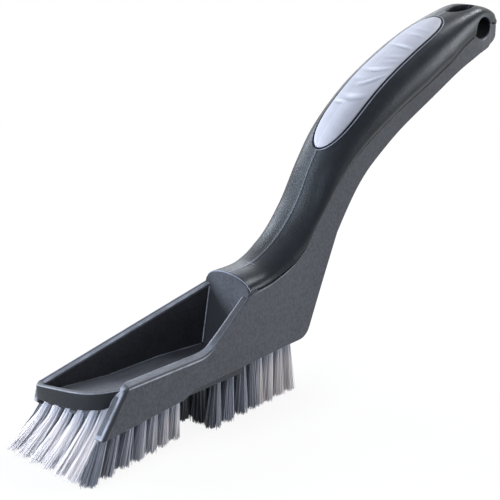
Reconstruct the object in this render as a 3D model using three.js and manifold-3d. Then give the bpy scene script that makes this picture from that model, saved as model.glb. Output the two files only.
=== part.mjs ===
// Window track brush: a tapered head with an open tray, a curved two-part handle with a soft
// grip pad and a hanging eye, and staple-set bristle tufts in two sections.
import * as THREE from 'three';
import { mergeVertices } from 'three/addons/utils/BufferGeometryUtils.js';
import Module from 'manifold-3d';

const wasm = await Module();
wasm.setup();
const { clamp, lerp } = THREE.MathUtils;

// Millimetres. x runs from the front of the near wall to the handle tip, y to the far side,
// and z up from the underside of the front bristle section.

// Head
const HEAD_FRONT_WIDTH = 40;
const HEAD_REAR_WIDTH = 18.6;
const HEAD_LENGTH = 100;
const HEEL_OVERHANG = 4.4;
const HEEL_RADIUS = 6;
const WALL = 3.4;
const FLOOR_SKIN = 0.6;
const REAR_STEP = 2.5;
const STEP_START = 38.5;
const STEP_END = 47;
const STEP_RADIUS = 4;
const POCKET_MARGIN = 1.3;
const LIP_THICKNESS = 2.2;
const LIP_HEIGHT = 4.4;
const LIP_TILT = 0.11;
const RIM_THICKNESS = 1;
const TRAY_REAR_FOOT = 62;
const TRAY_REAR_LEDGE = 1.6;
const TRAY_CORNER_RADIUS = 3;

// Near wall: front edge slants back to a low flat stretch, then ramps up to the handle
const NEAR_WALL_HEIGHT = 12.9;
const NEAR_WALL_SLANT = 13.2;
const NEAR_RAMP_START = 49.6;
const NEAR_RAMP_END = 73.3;
const TOE_RADIUS = 2.2;
const WALL_TOP_RADIUS = 3;
const RAMP_RADIUS = 8;

// Far wall: one straight rim from the nose to the handle
const FAR_WALL_FRONT = 1.6;
const FAR_RIM_RADIUS = 1.5;

// Front of the nose from the far wall to the near wall: x and y as shares of the front half width
const NOSE_SHARES = [
  [0.12, 0.965],
  [-0.045, 0.76],
  [-0.085, 0.3],
  [-0.06, -0.14],
  [0.03, -0.46],
  [0.21, -0.68],
  [0.46, -0.79],
];

// Handle: where the crest starts over the tray and how far it reaches, the depths and half widths,
// and the seam between shell and spine
const CREST_START = 72.5;
const HANDLE_LENGTH = 143.5;
const CREST_LOW = 35;
const CREST_TOP = 118.4;
const SHELL_DEPTH = 17.3;
const SPINE_DEPTH = 22;
const BASE_HALF_WIDTH = 11.9;
const NECK_HALF_WIDTH = 10.8;
const GRIP_HALF_WIDTH = 13.6;
const EYE_HALF_WIDTH = 9.9;
const TIP_HALF_WIDTH = 5.4;
const TIP_DEPTH = 9;
const TIP_RADIUS = 6;
const TIP_END_RADIUS = 1.5;
const SPINE_HALF_WIDTH = 8.7;
const SPINE_INSET = 0.2;
const LEDGE = 0.7;
const SHELL_WALL = 2.4;
const SEAM_GAP = 0.3;
const SECTION_POWER = 2.4;
const BULGE_SHARE = 0.62;

// Stations from the head to the tip: the crest's run and rise between its ends, the shell's depth
// to the seam and the spine's under it as shares of the largest, and the shell's half width
const STATIONS = [
  { run: 0, rise: 0, shell: 0.306, spine: 1, half: BASE_HALF_WIDTH },
  { run: 0.085, rise: 0.016, shell: 0.306, spine: 0.909, half: lerp(BASE_HALF_WIDTH, NECK_HALF_WIDTH, 0.4) },
  { run: 0.164, rise: 0.092, shell: 0.41, spine: 0.727, half: NECK_HALF_WIDTH },
  { run: 0.233, rise: 0.218, shell: 0.358, spine: 0.559, half: NECK_HALF_WIDTH },
  { run: 0.292, rise: 0.399, shell: 0.561, spine: 0.468, half: lerp(NECK_HALF_WIDTH, GRIP_HALF_WIDTH, 0.2) },
  { run: 0.352, rise: 0.547, shell: 0.769, spine: 0.409, half: lerp(NECK_HALF_WIDTH, GRIP_HALF_WIDTH, 0.5) },
  { run: 0.47, rise: 0.721, shell: 0.942, spine: 0.336, half: lerp(NECK_HALF_WIDTH, GRIP_HALF_WIDTH, 0.9) },
  { run: 0.603, rise: 0.854, shell: 1, spine: 0.3, half: GRIP_HALF_WIDTH },
  { run: 0.721, rise: 0.944, shell: 0.936, spine: 0.282, half: lerp(GRIP_HALF_WIDTH, EYE_HALF_WIDTH, 0.2) },
  { run: 0.819, rise: 0.99, shell: 0.694, spine: 0.364, half: lerp(GRIP_HALF_WIDTH, EYE_HALF_WIDTH, 0.6) },
  { run: 0.909, rise: 1, shell: 0.422, spine: 0.423, half: EYE_HALF_WIDTH },
  { run: 0.971, rise: 0.978, shell: 0.283, spine: 0.318, half: lerp(EYE_HALF_WIDTH, TIP_HALF_WIDTH, 0.4) },
  { run: 1, rise: 0.938, shell: 0.087, spine: 0.273, half: TIP_HALF_WIDTH },
];

// Places along the handle, as shares of the way from its first station to its last
const SPINE_SHARE = 0.25;
const HOLLOW_SHARE = 0.6667;
const EYE_SHARE = 0.8333;
const ARCH_SHARE = 0.025;
const RINGS_PER_STATION = 3;

// Hanging eye: an oval from side to side on the seam, and an oval opening down from the crest
const EYE_LENGTH = 10;
const EYE_HEIGHT = 8;
const TOP_OPENING_LENGTH = 16.5;
const TOP_OPENING_WIDTH = 8.5;
const TOP_OPENING_SETBACK = 4.5;

// Soft grip pad set into the crest, pointed at its lower end and blunt at its upper end
const PAD_START_SHARE = 0.3708;
const PAD_END_SHARE = 0.7125;
const PAD_LOWER_POWER = 2.1;
const PAD_UPPER_POWER = 2.9;
const PAD_SIDE_POWER = 0.52;
const PAD_HALF_WIDTH = 8.9;
const PAD_DEPTH = 1.3;
const PAD_PROUD = 0.35;
const FIT_GAP = 0.3;

// Bristles: strands in round tufts, each tuft held by a flat wire anchor
const BRISTLE_LENGTH = 15.3;
const BACKING = 1.0;
const TUFT_RADIUS = 1.15;
const TUFT_SPREAD = 1.65;
const STRANDS_ROUND = 8;
const STRAND_RADIUS = 0.34;
const STRAND_TAPER = 0.8;
const STRAND_ROOT = 0.4;
const TUFT_INSET = 2.3;
const TUFT_EDGE = 2.1;
const HOLE_RADIUS = 1.5;
const HOLE_DEPTH = 1.5;
const ANCHOR_THICKNESS = 0.5;
const NOSE_TUFTS = 5;
const NOSE_FIRST_SHARE = 0.2;
const NOSE_STEP_SHARE = 0.14;
const NOSE_INSET = 2.5;
const NOSE_OVERHANG = 13.5;
const NOSE_SPLAY_SHARE = 0.44;
const FRONT_TUFTS = 6;
const FRONT_INNER_TUFTS = 4;
const FRONT_OVERHANG = 10;
const FRONT_LEAN_POWER = 1.5;
const REAR_FAN = 1.6;
const REAR_DARK_TUFTS = 5;
const REAR_WHITE_TUFTS = 4;
const SIDE_SPLAY = 3.3;

// Finishes
const GREY_PLASTIC = { color: 0x4c4e51, roughness: 0.55, metalness: 0 };
const DARK_PLASTIC = { color: 0x25272b, roughness: 0.35, metalness: 0 };
const SOFT_GREY = { color: 0xb4b6c6, roughness: 0.6, metalness: 0 };
const WHITE_BRISTLE = { color: 0xe4e2e8, roughness: 0.5, metalness: 0 };
const GREY_BRISTLE = { color: 0x8b8e96, roughness: 0.5, metalness: 0 };
const DARK_BRISTLE = { color: 0x4a4e55, roughness: 0.5, metalness: 0 };
const STEEL_WIRE = { color: 0xb0b2b5, roughness: 0.3, metalness: 1 };

// Closed geometry to solid and back
function toSolid(geometry) {
  geometry.deleteAttribute('normal');
  geometry.deleteAttribute('uv');
  const merged = mergeVertices(geometry, 1e-4);
  const vertProperties = new Float32Array(merged.attributes.position.array);
  const triVerts = new Uint32Array(merged.index.array);
  return new wasm.Manifold(new wasm.Mesh({ numProp: 3, vertProperties, triVerts }));
}

function toMesh(name, solid, finish) {
  const mesh = solid.getMesh();
  const geometry = new THREE.BufferGeometry();
  geometry.setAttribute('position', new THREE.BufferAttribute(mesh.vertProperties, 3));
  geometry.setIndex(new THREE.BufferAttribute(mesh.triVerts, 1));
  geometry.computeVertexNormals();
  const part = new THREE.Mesh(geometry, new THREE.MeshStandardMaterial(finish));
  part.name = name;
  return part;
}

function extrude(points, depth) {
  const shape = new THREE.Shape(points.map(([a, b]) => new THREE.Vector2(a, b)));
  return new THREE.ExtrudeGeometry(shape, { depth, bevelEnabled: false, curveSegments: 1 });
}

// An outline in x and z carried along y, and one in x and y carried along z
function prismY(points, y0, y1) {
  return toSolid(extrude(points, y1 - y0).rotateX(Math.PI / 2).translate(0, y1, 0));
}

function prismZ(points, z0, z1) {
  return toSolid(extrude(points, z1 - z0).translate(0, 0, z0));
}

// Each corner [a, b, radius] becomes a short curve, limited by the edges beside it
function rounded(corners, steps = 4) {
  return corners.flatMap(([a, b, radius], i) => {
    const before = corners.at(i - 1);
    const after = corners[(i + 1) % corners.length];
    const corner = new THREE.Vector2(a, b);
    if (!radius) return [[a, b]];
    const ends = [before, after].map(([p, q]) => {
      const edge = new THREE.Vector2(p, q).sub(corner);
      const reach = Math.min(radius, edge.length() / 2);
      return corner.clone().add(edge.setLength(reach));
    });
    return new THREE.QuadraticBezierCurve(ends[0], corner, ends[1])
      .getPoints(steps)
      .map((point) => [point.x, point.y]);
  });
}

function oval(a, b, length, width, steps = 20) {
  return Array.from({ length: steps }, (_, i) => {
    const angle = (2 * Math.PI * i) / steps;
    return [a + (length / 2) * Math.cos(angle), b + (width / 2) * Math.sin(angle)];
  });
}

// Underside: where it steps up between the sections, and the tray floor above it
const UNDERSIDE_STEP = [
  [STEP_START, 0, STEP_RADIUS],
  [STEP_END, REAR_STEP, STEP_RADIUS],
];
const FLOOR_TOP = REAR_STEP + BACKING + FIT_GAP + HOLE_DEPTH + FLOOR_SKIN;

// Head plan
const TAPER = (HEAD_FRONT_WIDTH - HEAD_REAR_WIDTH) / 2 / HEAD_LENGTH;
const headHalf = (x) => HEAD_FRONT_WIDTH / 2 - TAPER * x;
const WIDE = HEAD_FRONT_WIDTH;

const NOSE_LINE = new THREE.CatmullRomCurve3(
  NOSE_SHARES.map(([x, y]) => new THREE.Vector3(x, y, 0).multiplyScalar(HEAD_FRONT_WIDTH / 2)),
);

function noseLine(inset, steps = 18) {
  return NOSE_LINE.getPoints(steps).map((point) => [point.x + inset, point.y]);
}

// The handle's frame at a share of its length: crest, unit vector down into the handle, and sizes
const CREST = new THREE.CatmullRomCurve3(
  STATIONS.map(({ run, rise }) => {
    const x = CREST_START + run * HANDLE_LENGTH;
    return new THREE.Vector3(x, 0, lerp(CREST_LOW, CREST_TOP, rise));
  }),
);
const DEPTHS = new THREE.CatmullRomCurve3(
  STATIONS.map(({ shell, spine, half }) => {
    return new THREE.Vector3(shell * SHELL_DEPTH, spine * SPINE_DEPTH, half);
  }),
);

function handleAt(share) {
  const crest = CREST.getPoint(share);
  const tangent = CREST.getTangent(share);
  const down = new THREE.Vector3(tangent.z, 0, -tangent.x);
  const [shell, spine, half] = DEPTHS.getPoint(share).toArray();
  const seam = crest.clone().addScaledVector(down, shell);
  const low = seam.clone().addScaledVector(down, spine);
  const foot = Math.min(
    half - 2 * SPINE_INSET,
    Math.max(SPINE_HALF_WIDTH + SPINE_INSET, headHalf(seam.x) - LEDGE),
  );
  return { crest, tangent, down, shell, half, foot, seam, low };
}

// Where the walls meet the handle
const SHOULDER = handleAt(0).seam.z;

const STATION_STEP = 1 / (STATIONS.length - 1);

function shareRange(from, to) {
  const count = Math.max(1, Math.round(((to - from) / STATION_STEP) * RINGS_PER_STATION));
  return Array.from({ length: count + 1 }, (_, i) => from + ((to - from) * i) / count);
}

// Half of the shell's section, from the crest round the bulge and in to the seam
function sectionHalf({ shell, half, foot }, grow, bottom) {
  const bulge = BULGE_SHARE * shell;
  const upper = Array.from({ length: 6 }, (_, i) => {
    const angle = (i * Math.PI) / 10;
    return [
      -grow + (bulge + grow) * (1 - Math.cos(angle) ** (2 / SECTION_POWER)),
      (half + grow) * Math.sin(angle) ** (2 / SECTION_POWER),
    ];
  });
  const lower = [1 / 3, 2 / 3, 1].map((share) => [
    bulge + (shell - bottom - bulge) * share,
    half + grow - (half - foot) * share ** 2,
  ]);
  return [...upper, ...lower];
}

// Skin over rings of points, capped at both ends
function loft(rings) {
  const sides = rings[0].length;
  const triangles = [];
  for (let i = 0; i < rings.length - 1; i++) {
    for (let j = 0; j < sides; j++) {
      const k = (j + 1) % sides;
      const [a, b] = [i * sides + j, i * sides + k];
      triangles.push(a, b, a + sides, b, b + sides, a + sides);
    }
  }
  const end = (rings.length - 1) * sides;
  for (let j = 1; j < sides - 1; j++) {
    triangles.push(0, j + 1, j, end, end + j, end + j + 1);
  }
  const geometry = new THREE.BufferGeometry().setFromPoints(rings.flat());
  geometry.setIndex(triangles);
  return toSolid(geometry);
}

// The shell's outside grown by a distance, its foot lifted off the seam by another, and its
// first ring led forward along the handle
function shellLoft(from, to, grow, bottom, lead = 0) {
  const rings = shareRange(from, to).map((share) => {
    const frame = handleAt(share);
    const half = sectionHalf(frame, grow, bottom);
    const place = ([depth, y]) => frame.crest.clone().addScaledVector(frame.down, depth).setY(y);
    const near = half.map(([depth, y]) => place([depth, -y]));
    const far = half.slice(1).reverse().map(place);
    return [...near, ...far];
  });
  if (lead) {
    const { tangent } = handleAt(from);
    rings.unshift(rings[0].map((point) => point.clone().addScaledVector(tangent, -lead)));
  }
  return loft(rings);
}

// Hanging eye cutters
const EYE = handleAt(EYE_SHARE);
const eyeCut = prismY(oval(EYE.seam.x, EYE.seam.z, EYE_LENGTH, EYE_HEIGHT), -WIDE, WIDE);
const topCut = prismZ(
  oval(EYE.seam.x - TOP_OPENING_SETBACK, 0, TOP_OPENING_LENGTH, TOP_OPENING_WIDTH),
  EYE.seam.z,
  EYE.crest.z + WIDE,
);

// Pad outline on the plane square to the crest at the pad's middle
const PAD_MIDDLE = handleAt((PAD_START_SHARE + PAD_END_SHARE) / 2);

function padPrism(grow) {
  const reach = (share) => handleAt(share).crest.sub(PAD_MIDDLE.crest).dot(PAD_MIDDLE.tangent);
  const from = reach(PAD_START_SHARE) - grow;
  const to = reach(PAD_END_SHARE) + grow;
  const steps = 22;
  const edge = Array.from({ length: steps + 1 }, (_, i) => {
    const share = -Math.cos((Math.PI * i) / steps);
    const power = share < 0 ? PAD_LOWER_POWER : PAD_UPPER_POWER;
    const width = (PAD_HALF_WIDTH + grow) * (1 - Math.abs(share) ** power) ** PAD_SIDE_POWER;
    return [from + ((to - from) * (share + 1)) / 2, width];
  });
  const outline = [...edge.map(([u, v]) => [u, -v]), ...edge.slice(1, -1).reverse()];
  const basis = new THREE.Matrix4().makeBasis(
    PAD_MIDDLE.tangent,
    new THREE.Vector3(0, 1, 0),
    PAD_MIDDLE.down.clone().negate(),
  );
  const sink = BULGE_SHARE * PAD_MIDDLE.shell;
  const geometry = extrude(outline, 2 * sink).translate(0, 0, -sink);
  geometry.applyMatrix4(basis);
  return toSolid(geometry.translate(...PAD_MIDDLE.crest.toArray()));
}

function makeHandleShell() {
  const hollow = shellLoft(0, HOLLOW_SHARE, -SHELL_WALL, -SHELL_WALL, SHELL_WALL);
  const pocket = padPrism(FIT_GAP).subtract(
    shellLoft(SPINE_SHARE, 1 - STATION_STEP, -PAD_DEPTH - FIT_GAP, 0),
  );
  const outside = shellLoft(0, 1, 0, SEAM_GAP);
  return outside.subtract(hollow).subtract(pocket).subtract(eyeCut).subtract(topCut);
}

function makeGripPad() {
  const [from, to] = [SPINE_SHARE, 1 - STATION_STEP];
  const skin = shellLoft(from, to, PAD_PROUD, 0).subtract(shellLoft(from, to, -PAD_DEPTH, 0));
  return skin.intersect(padPrism(0));
}

// Body: floor and tuft block, walls, nose lip, heel and spine in one moulding
function makeCore() {
  const seam = shareRange(0, 1).map((share) => handleAt(share).seam);
  const low = shareRange(SPINE_SHARE, EYE_SHARE).map((share) => handleAt(share).low);
  const tip = seam.at(-1);
  const end = CREST_START + HANDLE_LENGTH + SEAM_GAP;
  const front = -LIP_THICKNESS;
  const outline = rounded([
    [front, 0],
    ...UNDERSIDE_STEP,
    [HEAD_LENGTH + HEEL_OVERHANG, REAR_STEP, HEEL_RADIUS],
    ...low.map(({ x, z }) => [x, z]),
    [end, tip.z - TIP_DEPTH, TIP_RADIUS],
    [end, tip.z, TIP_END_RADIUS],
    ...seam.reverse().map(({ x, z }) => [x, z]),
    [seam.at(-1).x - TRAY_REAR_LEDGE, SHOULDER],
    [TRAY_REAR_FOOT, FLOOR_TOP, TRAY_CORNER_RADIUS],
    [front, FLOOR_TOP],
  ]);
  const edge = [
    [TRAY_REAR_FOOT, headHalf(TRAY_REAR_FOOT)],
    [HEAD_LENGTH, headHalf(HEAD_LENGTH)],
    [handleAt(SPINE_SHARE + STATION_STEP).crest.x, SPINE_HALF_WIDTH],
    ...shareRange(EYE_SHARE, 1).map((share) => {
      const { seam: place, foot } = handleAt(share);
      return [place.x, foot - SPINE_INSET];
    }),
    [end, TIP_HALF_WIDTH - 4 * SPINE_INSET],
  ];
  const near = edge.map(([x, y]) => [x, -y]);
  const plan = [...noseLine(LIP_THICKNESS - FIT_GAP), ...near, ...edge.reverse()];
  const top = CREST_TOP + WIDE;
  return prismY(outline, -WIDE, WIDE).intersect(prismZ(plan, -WALL, top));
}

function wallStrip(side, to) {
  const from = -WALL;
  const strip = [
    [from, side * headHalf(from)],
    [to, side * headHalf(to)],
    [to, side * (headHalf(to) - WALL)],
    [from, side * (headHalf(from) - WALL)],
  ];
  const ordered = side > 0 ? strip.reverse() : strip;
  return prismZ(ordered, -WALL, SHOULDER + WALL);
}

function makeNearWall() {
  const rear = NEAR_RAMP_END + WALL;
  const outline = rounded([
    [0, 0, TOE_RADIUS],
    ...UNDERSIDE_STEP,
    [rear, REAR_STEP],
    [rear, SHOULDER],
    [NEAR_RAMP_END, SHOULDER, WALL_TOP_RADIUS],
    [NEAR_RAMP_START, NEAR_WALL_HEIGHT, RAMP_RADIUS],
    [NEAR_WALL_SLANT, NEAR_WALL_HEIGHT, WALL_TOP_RADIUS],
  ]);
  return prismY(outline, -WIDE, 0).intersect(wallStrip(-1, rear));
}

function makeFarWall() {
  const rear = NEAR_RAMP_END + WALL;
  const outline = rounded([
    [0, 0, TOE_RADIUS],
    ...UNDERSIDE_STEP,
    [rear, REAR_STEP],
    [rear, SHOULDER],
    [NEAR_RAMP_END, SHOULDER, WALL_TOP_RADIUS],
    [FAR_WALL_FRONT, FLOOR_TOP, FAR_RIM_RADIUS],
  ]);
  return prismY(outline, 0, WIDE).intersect(wallStrip(1, rear));
}

// The lip round the nose climbs from the far wall to the near wall
function makeLip() {
  const outer = noseLine(0);
  const inner = noseLine(LIP_THICKNESS).reverse();
  const shear = new THREE.Matrix4().set(1, 0, 0, 0, 0, 1, 0, 0, 0, -LIP_TILT, 1, 0, 0, 0, 0, 1);
  const base = FLOOR_TOP - LIP_HEIGHT + (LIP_TILT * HEAD_FRONT_WIDTH) / 2;
  const geometry = extrude([...outer, ...inner], LIP_HEIGHT).translate(0, 0, base);
  return toSolid(geometry.applyMatrix4(shear));
}

// Underside pockets: the front one follows the nose, the rear one is a tapered strip
function frontPocket(gap) {
  const half = (x) => headHalf(x) - WALL - gap;
  const end = FRONT_END - gap;
  const front = noseLine(LIP_THICKNESS + RIM_THICKNESS + gap).map(([x, y]) => [
    x,
    clamp(y, -half(x), half(x)),
  ]);
  return [...front, [end, -half(end)], [end, half(end)]];
}

function rearPocket(gap) {
  const half = (x) => headHalf(x) - WALL - gap;
  const [start, end] = [REAR_START + gap, REAR_END - gap];
  return [[start, -half(start)], [end, -half(end)], [end, half(end)], [start, half(start)]];
}

const innerHalf = (x) => headHalf(x) - WALL - TUFT_INSET;

// Tufts: root place on the underside, and how far the tip stands off it
function noseTufts() {
  const inset = LIP_THICKNESS + RIM_THICKNESS + NOSE_INSET;
  return Array.from({ length: NOSE_TUFTS }, (_, i) => {
    const { x, y } = NOSE_LINE.getPointAt(NOSE_FIRST_SHARE + i * NOSE_STEP_SHARE);
    return { x: x + inset, y, leanX: -NOSE_OVERHANG, leanY: NOSE_SPLAY_SHARE * y };
  });
}

// Where the sections start, split and end, and the rows' pitches that fill them
const FRONT_SPLIT = Math.max(...noseTufts().map(({ x }) => x)) + TUFT_EDGE;
const FRONT_END = STEP_START - POCKET_MARGIN;
const FRONT_ROW = FRONT_SPLIT + TUFT_EDGE;
const FRONT_PITCH = (FRONT_END - TUFT_EDGE - FRONT_ROW) / (FRONT_TUFTS - 1);
const FRONT_INNER_ROW = FRONT_ROW + FRONT_PITCH / 2;
const FRONT_INNER_PITCH = (FRONT_END - TUFT_EDGE - FRONT_INNER_ROW) / (FRONT_INNER_TUFTS - 1);
const REAR_START = STEP_END + 2 * POCKET_MARGIN;
const REAR_END = HEAD_LENGTH - 2 * POCKET_MARGIN;
const REAR_ROW = REAR_START + TUFT_EDGE;
const REAR_PITCH = (REAR_END - TUFT_EDGE - REAR_ROW) / (REAR_DARK_TUFTS + REAR_WHITE_TUFTS - 1);
const REAR_SPLIT = REAR_ROW + (REAR_DARK_TUFTS - 0.5) * REAR_PITCH;

function rowTufts(start, pitch, count, yShare, leanAt) {
  return Array.from({ length: count }, (_, i) => {
    const x = start + i * pitch;
    return { x, y: yShare * innerHalf(x), leanX: leanAt(x), leanY: SIDE_SPLAY * yShare };
  });
}

function frontTufts() {
  const ahead = (x) => Math.max(0, (FRONT_END - x) / (FRONT_END - FRONT_ROW));
  const lean = (x) => -FRONT_OVERHANG * ahead(x) ** FRONT_LEAN_POWER;
  return [
    ...[-1, 1].flatMap((side) => rowTufts(FRONT_ROW, FRONT_PITCH, FRONT_TUFTS, side, lean)),
    ...[-0.5, 0, 0.5].flatMap((share) =>
      rowTufts(FRONT_INNER_ROW, FRONT_INNER_PITCH, FRONT_INNER_TUFTS, share, lean),
    ),
  ];
}

function rearTufts(first, count, shares) {
  const start = REAR_ROW + first * REAR_PITCH;
  const middle = (REAR_START + REAR_END) / 2;
  const fan = (x) => (REAR_FAN * (x - middle)) / (REAR_END - middle);
  return shares.flatMap((share) => rowTufts(start, REAR_PITCH, count, share, fan));
}

const TUFT_GROUPS = [
  {
    name: 'nose_bristles',
    finish: WHITE_BRISTLE,
    base: 0,
    pocket: frontPocket,
    span: [-WIDE, FRONT_SPLIT],
    tufts: noseTufts(),
  },
  {
    name: 'front_bristles',
    finish: GREY_BRISTLE,
    base: 0,
    pocket: frontPocket,
    span: [FRONT_SPLIT + FIT_GAP, FRONT_END],
    tufts: frontTufts(),
  },
  {
    name: 'rear_dark_bristles',
    finish: DARK_BRISTLE,
    base: REAR_STEP,
    pocket: rearPocket,
    span: [REAR_START, REAR_SPLIT],
    tufts: rearTufts(0, REAR_DARK_TUFTS, [-1, 0, 1]),
  },
  {
    name: 'rear_white_bristles',
    finish: WHITE_BRISTLE,
    base: REAR_STEP,
    pocket: rearPocket,
    span: [REAR_SPLIT + FIT_GAP, REAR_END],
    tufts: rearTufts(REAR_DARK_TUFTS, REAR_WHITE_TUFTS, [-1, 1]),
  },
];

// One three-sided strand from the backing to the trim plane, level at both ends
function strand(root, tip, z0, z1) {
  const ring = ([x, y], z, radius) =>
    [0, 1, 2].map((i) => {
      const angle = (2 * Math.PI * i) / 3;
      return new THREE.Vector3(x + radius * Math.cos(angle), y + radius * Math.sin(angle), z);
    });
  return loft([ring(tip, z0, STRAND_TAPER * STRAND_RADIUS), ring(root, z1, STRAND_RADIUS)]);
}

function makeBristles({ base, pocket, span: [from, to], tufts }) {
  const stretch = prismZ([[from, -WIDE], [to, -WIDE], [to, WIDE], [from, WIDE]], -WALL, WIDE);
  let solid = prismZ(pocket(FIT_GAP), base, base + BACKING).intersect(stretch);
  for (const { x, y, leanX, leanY } of tufts) {
    for (let i = 0; i <= STRANDS_ROUND; i++) {
      const angle = (2 * Math.PI * (i + 0.5)) / STRANDS_ROUND;
      const radius = i < STRANDS_ROUND ? TUFT_RADIUS : 0;
      const off = [radius * Math.cos(angle), radius * Math.sin(angle)];
      const root = [x + off[0], y + off[1]];
      const tip = [x + leanX + TUFT_SPREAD * off[0], y + leanY + TUFT_SPREAD * off[1]];
      solid = solid.add(strand(root, tip, -BRISTLE_LENGTH, base + STRAND_ROOT));
    }
  }
  return solid;
}

function makeAnchor({ x, y }, base) {
  const length = 2 * (HOLE_RADIUS - FIT_GAP);
  const height = HOLE_DEPTH - 2 * FIT_GAP;
  const geometry = new THREE.BoxGeometry(length, ANCHOR_THICKNESS, height);
  return toSolid(geometry.translate(x, y, base + BACKING + 2 * FIT_GAP + height / 2));
}

function makeBody() {
  const archPanel = shellLoft(0, ARCH_SHARE, -SHELL_WALL - FIT_GAP, -WALL);
  let body = makeCore().add(archPanel).add(makeNearWall()).add(makeFarWall()).add(makeLip());
  body = body.subtract(eyeCut);
  const ceiling = BACKING + FIT_GAP;
  body = body.subtract(prismZ(frontPocket(0), -WALL, ceiling));
  body = body.subtract(prismZ(rearPocket(0), -WALL, REAR_STEP + ceiling));
  for (const { base, tufts } of TUFT_GROUPS) {
    for (const { x, y } of tufts) {
      const from = base + ceiling;
      const hole = oval(x, y, 2 * HOLE_RADIUS, 2 * HOLE_RADIUS, 6);
      body = body.subtract(prismZ(hole, from - FIT_GAP, from + HOLE_DEPTH));
    }
  }
  return body;
}

const brush = new THREE.Group();
brush.add(toMesh('body', makeBody(), GREY_PLASTIC));
brush.add(toMesh('handle_shell', makeHandleShell(), DARK_PLASTIC));
brush.add(toMesh('grip_pad', makeGripPad(), SOFT_GREY));
for (const group of TUFT_GROUPS) {
  brush.add(toMesh(group.name, makeBristles(group), group.finish));
  const stem = group.name.replace('bristles', 'anchor');
  group.tufts.forEach((tuft, i) => {
    brush.add(toMesh(`${stem}_${i + 1}`, makeAnchor(tuft, group.base), STEEL_WIRE));
  });
}

// The origin is under the middle of the length, on the trim plane and the mirror plane
const box = new THREE.Box3().setFromObject(brush);
const middle = box.getCenter(new THREE.Vector3());
brush.position.set(-middle.x, 0, -box.min.z);

export default brush;
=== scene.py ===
"""Window track brush: its finished pieces and a plain studio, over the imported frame.

Surfaces are worked out in millimetres, with x from the front of the near wall to the handle tip,
y to the far side and z up from the underside of the front bristle section. They go into the row
frame, in metres, when their mesh is made.
"""

import math
from types import SimpleNamespace

import bmesh
import bpy
import numpy as np
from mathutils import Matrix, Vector


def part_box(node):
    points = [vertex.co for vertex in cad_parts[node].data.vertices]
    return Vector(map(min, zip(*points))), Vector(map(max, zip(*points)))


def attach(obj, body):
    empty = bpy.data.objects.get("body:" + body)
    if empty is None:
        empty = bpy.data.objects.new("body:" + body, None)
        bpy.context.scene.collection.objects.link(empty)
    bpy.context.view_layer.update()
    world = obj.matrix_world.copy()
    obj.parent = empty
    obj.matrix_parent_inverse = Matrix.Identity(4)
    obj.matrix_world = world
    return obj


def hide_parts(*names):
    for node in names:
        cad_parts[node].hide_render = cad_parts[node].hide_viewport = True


bl_info = {
    "name": "Window track brush",
    "version": (1, 0, 0),
    "blender": (4, 5, 0),
    "location": "View3D > Sidebar > Track brush",
    "description": "Builds a window track brush from its sizes and colours",
    "category": "Object",
}

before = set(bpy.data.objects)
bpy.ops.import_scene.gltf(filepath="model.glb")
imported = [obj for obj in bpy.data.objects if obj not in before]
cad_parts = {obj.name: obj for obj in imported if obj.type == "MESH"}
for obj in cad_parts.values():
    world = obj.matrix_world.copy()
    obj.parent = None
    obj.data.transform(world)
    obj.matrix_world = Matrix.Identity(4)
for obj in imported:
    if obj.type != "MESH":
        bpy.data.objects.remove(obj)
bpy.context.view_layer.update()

# Handle stations from head to tip: run and rise of the crest, and the shell's and spine's depth
# as shares of the largest
STATIONS = np.array([
    (0, 0, 0.306, 1), (0.085, 0.016, 0.306, 0.909), (0.164, 0.092, 0.41, 0.727),
    (0.233, 0.218, 0.358, 0.559), (0.292, 0.399, 0.561, 0.468), (0.352, 0.547, 0.769, 0.409),
    (0.47, 0.721, 0.942, 0.336), (0.603, 0.854, 1, 0.3), (0.721, 0.944, 0.936, 0.282),
    (0.819, 0.99, 0.694, 0.364), (0.909, 1.013, 0.485, 0.423), (0.971, 0.979, 0.33, 0.318),
    (1, 0.927, 0.0925, 0.273),
])
# Half width at each station, as a place between base 0, neck 1, grip 2, eye 3 and tip 4
HALF_PLACES = (0, 0.4, 1, 1, 1.2, 1.5, 1.9, 2, 2.2, 2.6, 3, 3.4, 4)
# Shares of the handle: the free spine's start, the hanging eye, both ends of the pad, the stretch
# over which its rows turn upright, and the end of the shell
SPINE_SHARE = 0.25
EYE_SHARE = 0.8333
PAD_SHARES = (0.3708, 0.7125)
TIP_TURN = (0.93, 0.983)
SHELL_END = 0.975
# Shares of the handle at which its section grows square, and over which its sides grow straight
SQUARE_SHARES = (0.68, 0.84)
STRAIGHT_SHARES = (0, 0.2)
# Places in x: upper front corners of the walls, the step of the underside, the ramp of the near
# wall, the head of the far wall's rim, the end of both shoulders, the walls' change to the seam,
# the shell's change from the head to the spine and the stretch in which the spine widens
NEAR_CORNER = 11.4
FAR_CORNER = 1.6
STEP_FOOT, STEP_TOP = 38.8, 43
RAMP_FOOT, RAMP_HEAD = 51.2, 73.8
RIM_HEAD = 73.3
SHOULDER_END = 78
SEAM_START = 76
SHELL_LEAVES = 84
SPINE_WIDENS = (150, 190)
# Ends of the two blocks that hold the tufts, in x and before the heel, and their hollow underside
FRONT_BLOCK_END = 37.2
REAR_BLOCK_START = 49.6
REAR_BLOCK_INSET = 2.6
BLOCK_RECESS = 0.6
# How far the spine widens, the lower moulding stays inside the shell's foot, and surfaces that
# would coincide are kept apart
SPINE_GROWTH = 0.8
FOOT_LEDGE = 0.2
APART = 0.02
# Rounding of the walls' front edges and of their ends at the tip, and how far a front leans back
FRONT_ROUND = 1.5
TIP_ROUND = 0.3
FRONT_LEAN = 0.45
# Front of the nose from far wall to near wall, as shares of the front half width
NOSE_SHARES = np.array([
    (0.12, 0.965), (-0.045, 0.76), (-0.085, 0.3), (-0.06, -0.14), (0.03, -0.46), (0.21, -0.68),
    (0.46, -0.79),
])
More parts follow.
